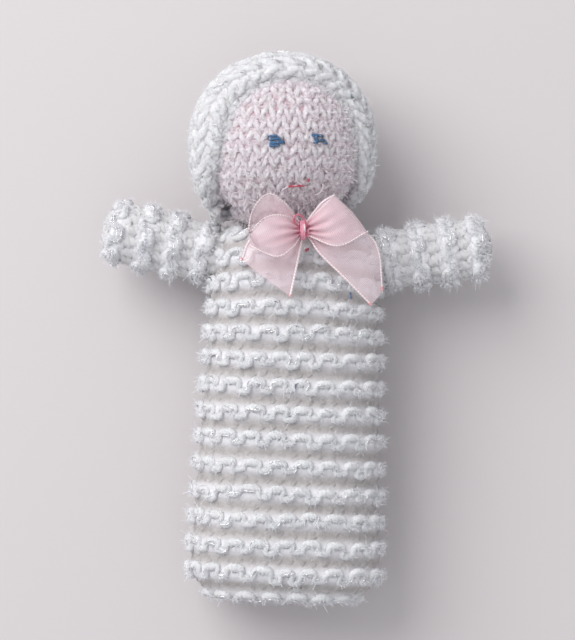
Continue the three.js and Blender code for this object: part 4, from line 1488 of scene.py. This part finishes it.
def make_ribbon():
    points, faces, weaves, depths, length = [], [], [], [], 0.0
    for upper, lower in RIBBON_STRETCHES.values():
        grid, normals, weave, gathered, stretch = ribbon_sheet(upper, lower)
        rows, columns, _ = grid.shape
        length += stretch
        for side in (1, -1):
            start = len(points)
            points.extend((grid + normals * side * RIBBON_THICKNESS / 2).reshape(-1, 3))
            weaves.extend(weave.reshape(-1, 2))
            depths.extend(gathered.ravel())
            sheet = grid_faces(rows, columns, start)
            faces += sheet if side < 0 else [face[::-1] for face in sheet]
        front, back = start - rows * columns, start
        numbers = np.arange(rows * columns).reshape(rows, columns)
        rim = [*numbers[0], *numbers[1:, -1], *numbers[-1, -2::-1], *numbers[-2:0:-1, 0]]
        for a, b in zip(rim, rim[1:] + rim[:1]):
            faces.append((front + a, front + b, back + b, back + a))
    mesh = new_mesh("bow_ribbon_cloth", points, faces, RIBBON)
    corners = np.zeros(len(mesh.loops), dtype=int)
    mesh.loops.foreach_get("vertex_index", corners)
    layer = mesh.uv_layers.new(name="weave")
    layer.data.foreach_set("uv", np.array(weaves)[corners].astype(np.float32).ravel())
    store(mesh, "gathered", depths)
    return linked("bow_ribbon_cloth", mesh), length


def in_bow(points):
    """Points measured from the bow's own place, in the shared frame."""
    return np.asarray(points, dtype=float) + BOW_PLACE


def shank_lines():
    """Thread between the chest and the bow: strands that spread below, and the turns round them."""
    share = np.linspace(0, 1, 60)[:, None]
    radius = SHANK_SPREAD[0] * (1 - share) ** 3 + SHANK_SPREAD[1]
    height = SHANK_SPAN[0] + (SHANK_SPAN[1] - SHANK_SPAN[0]) * share
    lines = []
    for angle in [*np.linspace(0, TURN, SHANK_STRANDS, endpoint=False), share * TURN * SHANK_TURNS]:
        reach = radius if np.ndim(angle) == 0 else radius + FINE_THREAD
        x, y = reach * np.cos(angle), reach * np.sin(angle)
        lines.append(np.concatenate([BOW_PLACE[0] + x, BOW_PLACE[1] + y, height], axis=1))
    return lines


def bow_stitch(pixels, height, count):
    """A line through places that the photograph shows at the pixels, each with its rise above a height."""
    return smooth_curve([(*from_pixel(x, y, height), height + rise) for x, y, rise in pixels], count)


def make_bow():
    cloth, length = make_ribbon()
    placed(cloth, "bow", "bow_ribbon")
    edges = []
    for upper, lower in RIBBON_STRETCHES.values():
        edges += [in_bow(smooth_curve(edge, count=60)) for edge in (upper, lower)]
    selvedges = sewn("bow_selvedges", edges, "bow", None, "pink_ribbon", SELVEDGE, SELVEDGE_WIDTH,
                     plies=2, ply_depth=0.1, twist_pitch=1.2)
    tail_edges = edges[4:]
    ends = [edge[-3:] for edge in tail_edges]
    sealed = sewn("bow_sealed_ends", ends, "bow", None, "pink_ribbon", SEALED_RIBBON, SEALED_WIDTH)
    half = PINCH_WIDTH / 2
    bunch = in_bow([(x, 0, PINCH_MIDDLE) for x in np.linspace(-half, half, PINCH_POINTS)])
    flare = PINCH_FLARE[0] + PINCH_FLARE[1] * np.linspace(-1, 1, PINCH_POINTS) ** 2
    pinch = sewn("bow_pinch", [bunch], "bow", None, "pink_ribbon", PINCHED_RIBBON, PINCH_HEIGHT, sides=42,
                 plies=7, ply_depth=0.13, twist_pitch=40.0, swells=[flare])
    length * MM

    angles = np.linspace(0, TURN * BINDING_TURNS, BINDING_POINTS)
    radius = BINDING_WIDTH / 2
    sideways = np.linspace(-BINDING_SPREAD, BINDING_SPREAD, BINDING_POINTS)
    wraps = np.stack([sideways, radius * np.cos(angles), radius * np.sin(angles) + PINCH_MIDDLE], axis=1)
    sewn("bow_binding", [in_bow(wraps)], "bow", "bow_binding_thread", "rose_thread", BINDING_THREAD,
         BOW_THREAD, **THREAD_TWIST)
    top = BOW_PLACE[2] + PINCH_MIDDLE + BINDING_WIDTH / 2
    loop = bow_stitch(THREAD_LOOP_PIXELS, top, count=40)
    sewn("bow_thread_slack", [loop], "bow", "bow_thread_loop", "rose_thread", ROSE_THREAD, LOOSE_THREAD,
         **THREAD_TWIST)
    over = bow_stitch(WHITE_STITCH_PIXELS, top, count=12)
    sewn("bow_white_stitch", [over], "bow", None, "white_yarn", PALE_THREAD, BOW_THREAD)

    sewn("bow_anchor_thread", shank_lines(), "torso", "bow_anchor_stitch", "rose_thread", ROSE_THREAD,
         BOW_THREAD, **THREAD_TWIST)
    low = bow_stitch(LOWER_STITCH_PIXELS, LOWER_STITCH_HEIGHT, count=12)
    sewn("bow_lower_thread", [low], "torso", "bow_lower_stitch", "rose_thread", RED_THREAD, THREAD)


# Stage, light and camera

def make_stage():
    floor_mesh = bpy.data.meshes.new("floor")
    half = 1.2
    corners = [(-half, -half, 0), (half, -half, 0), (half, half, 0), (-half, half, 0)]
    floor_mesh.from_pydata(corners, [], [(0, 1, 2, 3)])
    surface = {"Base Color": linear(212, 207, 208), "Roughness": 0.9}
    floor_mesh.materials.append(Surface("pale_floor").finish(surface))
    linked("floor", floor_mesh)


WINDOW_PLACE = np.array([-0.42, 0.40, 0.55])
WINDOW_TARGET = np.array([0, 0, 0.01])


def make_light():
    lamp = bpy.data.lights.new("window", "AREA")
    lamp.shape = "DISK"
    lamp.size = 0.7
    lamp.energy = 5.0
    lamp.color = (1.0, 0.99, 0.98)
    light = linked("window", lamp)
    light.location = WINDOW_PLACE
    x, y, z = WINDOW_TARGET - WINDOW_PLACE
    light.rotation_euler = (math.atan2(math.hypot(x, y), -z), 0, math.atan2(y, x) - math.pi / 2)
    world = bpy.data.worlds.new("room")
    bpy.context.scene.world = world
    world.use_nodes = True
    world.node_tree.nodes.clear()
    graph = Graph(world.node_tree)
    glow = graph.node("ShaderNodeBackground", {}, {"Color": (0.93, 0.94, 0.97, 1), "Strength": 0.66})
    graph.node("ShaderNodeOutputWorld", {}, {"Surface": glow})


def make_camera():
    lens = bpy.data.cameras.new("camera")
    camera = linked("camera", lens)
    x, y = from_pixel(IMAGE_WIDTH / 2, IMAGE_HEIGHT / 2)
    camera.location = (x * MM, y * MM, (OUTLINE_HEIGHT + CAMERA_HEIGHT) * MM)
    lens.sensor_fit = "VERTICAL"
    lens.sensor_height = 24
    lens.lens = lens.sensor_height * CAMERA_HEIGHT * PIXELS_PER_MM / IMAGE_HEIGHT
    lens.clip_start = 0.01
    bpy.context.scene.camera = camera


make_body()
make_arm("left", LEFT_ARM_DIRECTION)
make_arm("right", RIGHT_ARM_DIRECTION)
make_arm_sewing("left", LEFT_ARM_DIRECTION)
make_arm_sewing("right", RIGHT_ARM_DIRECTION)
make_head()
make_hood()
make_neck()
make_face()
make_seams()
make_gathers()
make_bow()
make_stage()
make_light()
make_camera()

bpy.context.scene.view_settings.view_transform = "Standard"
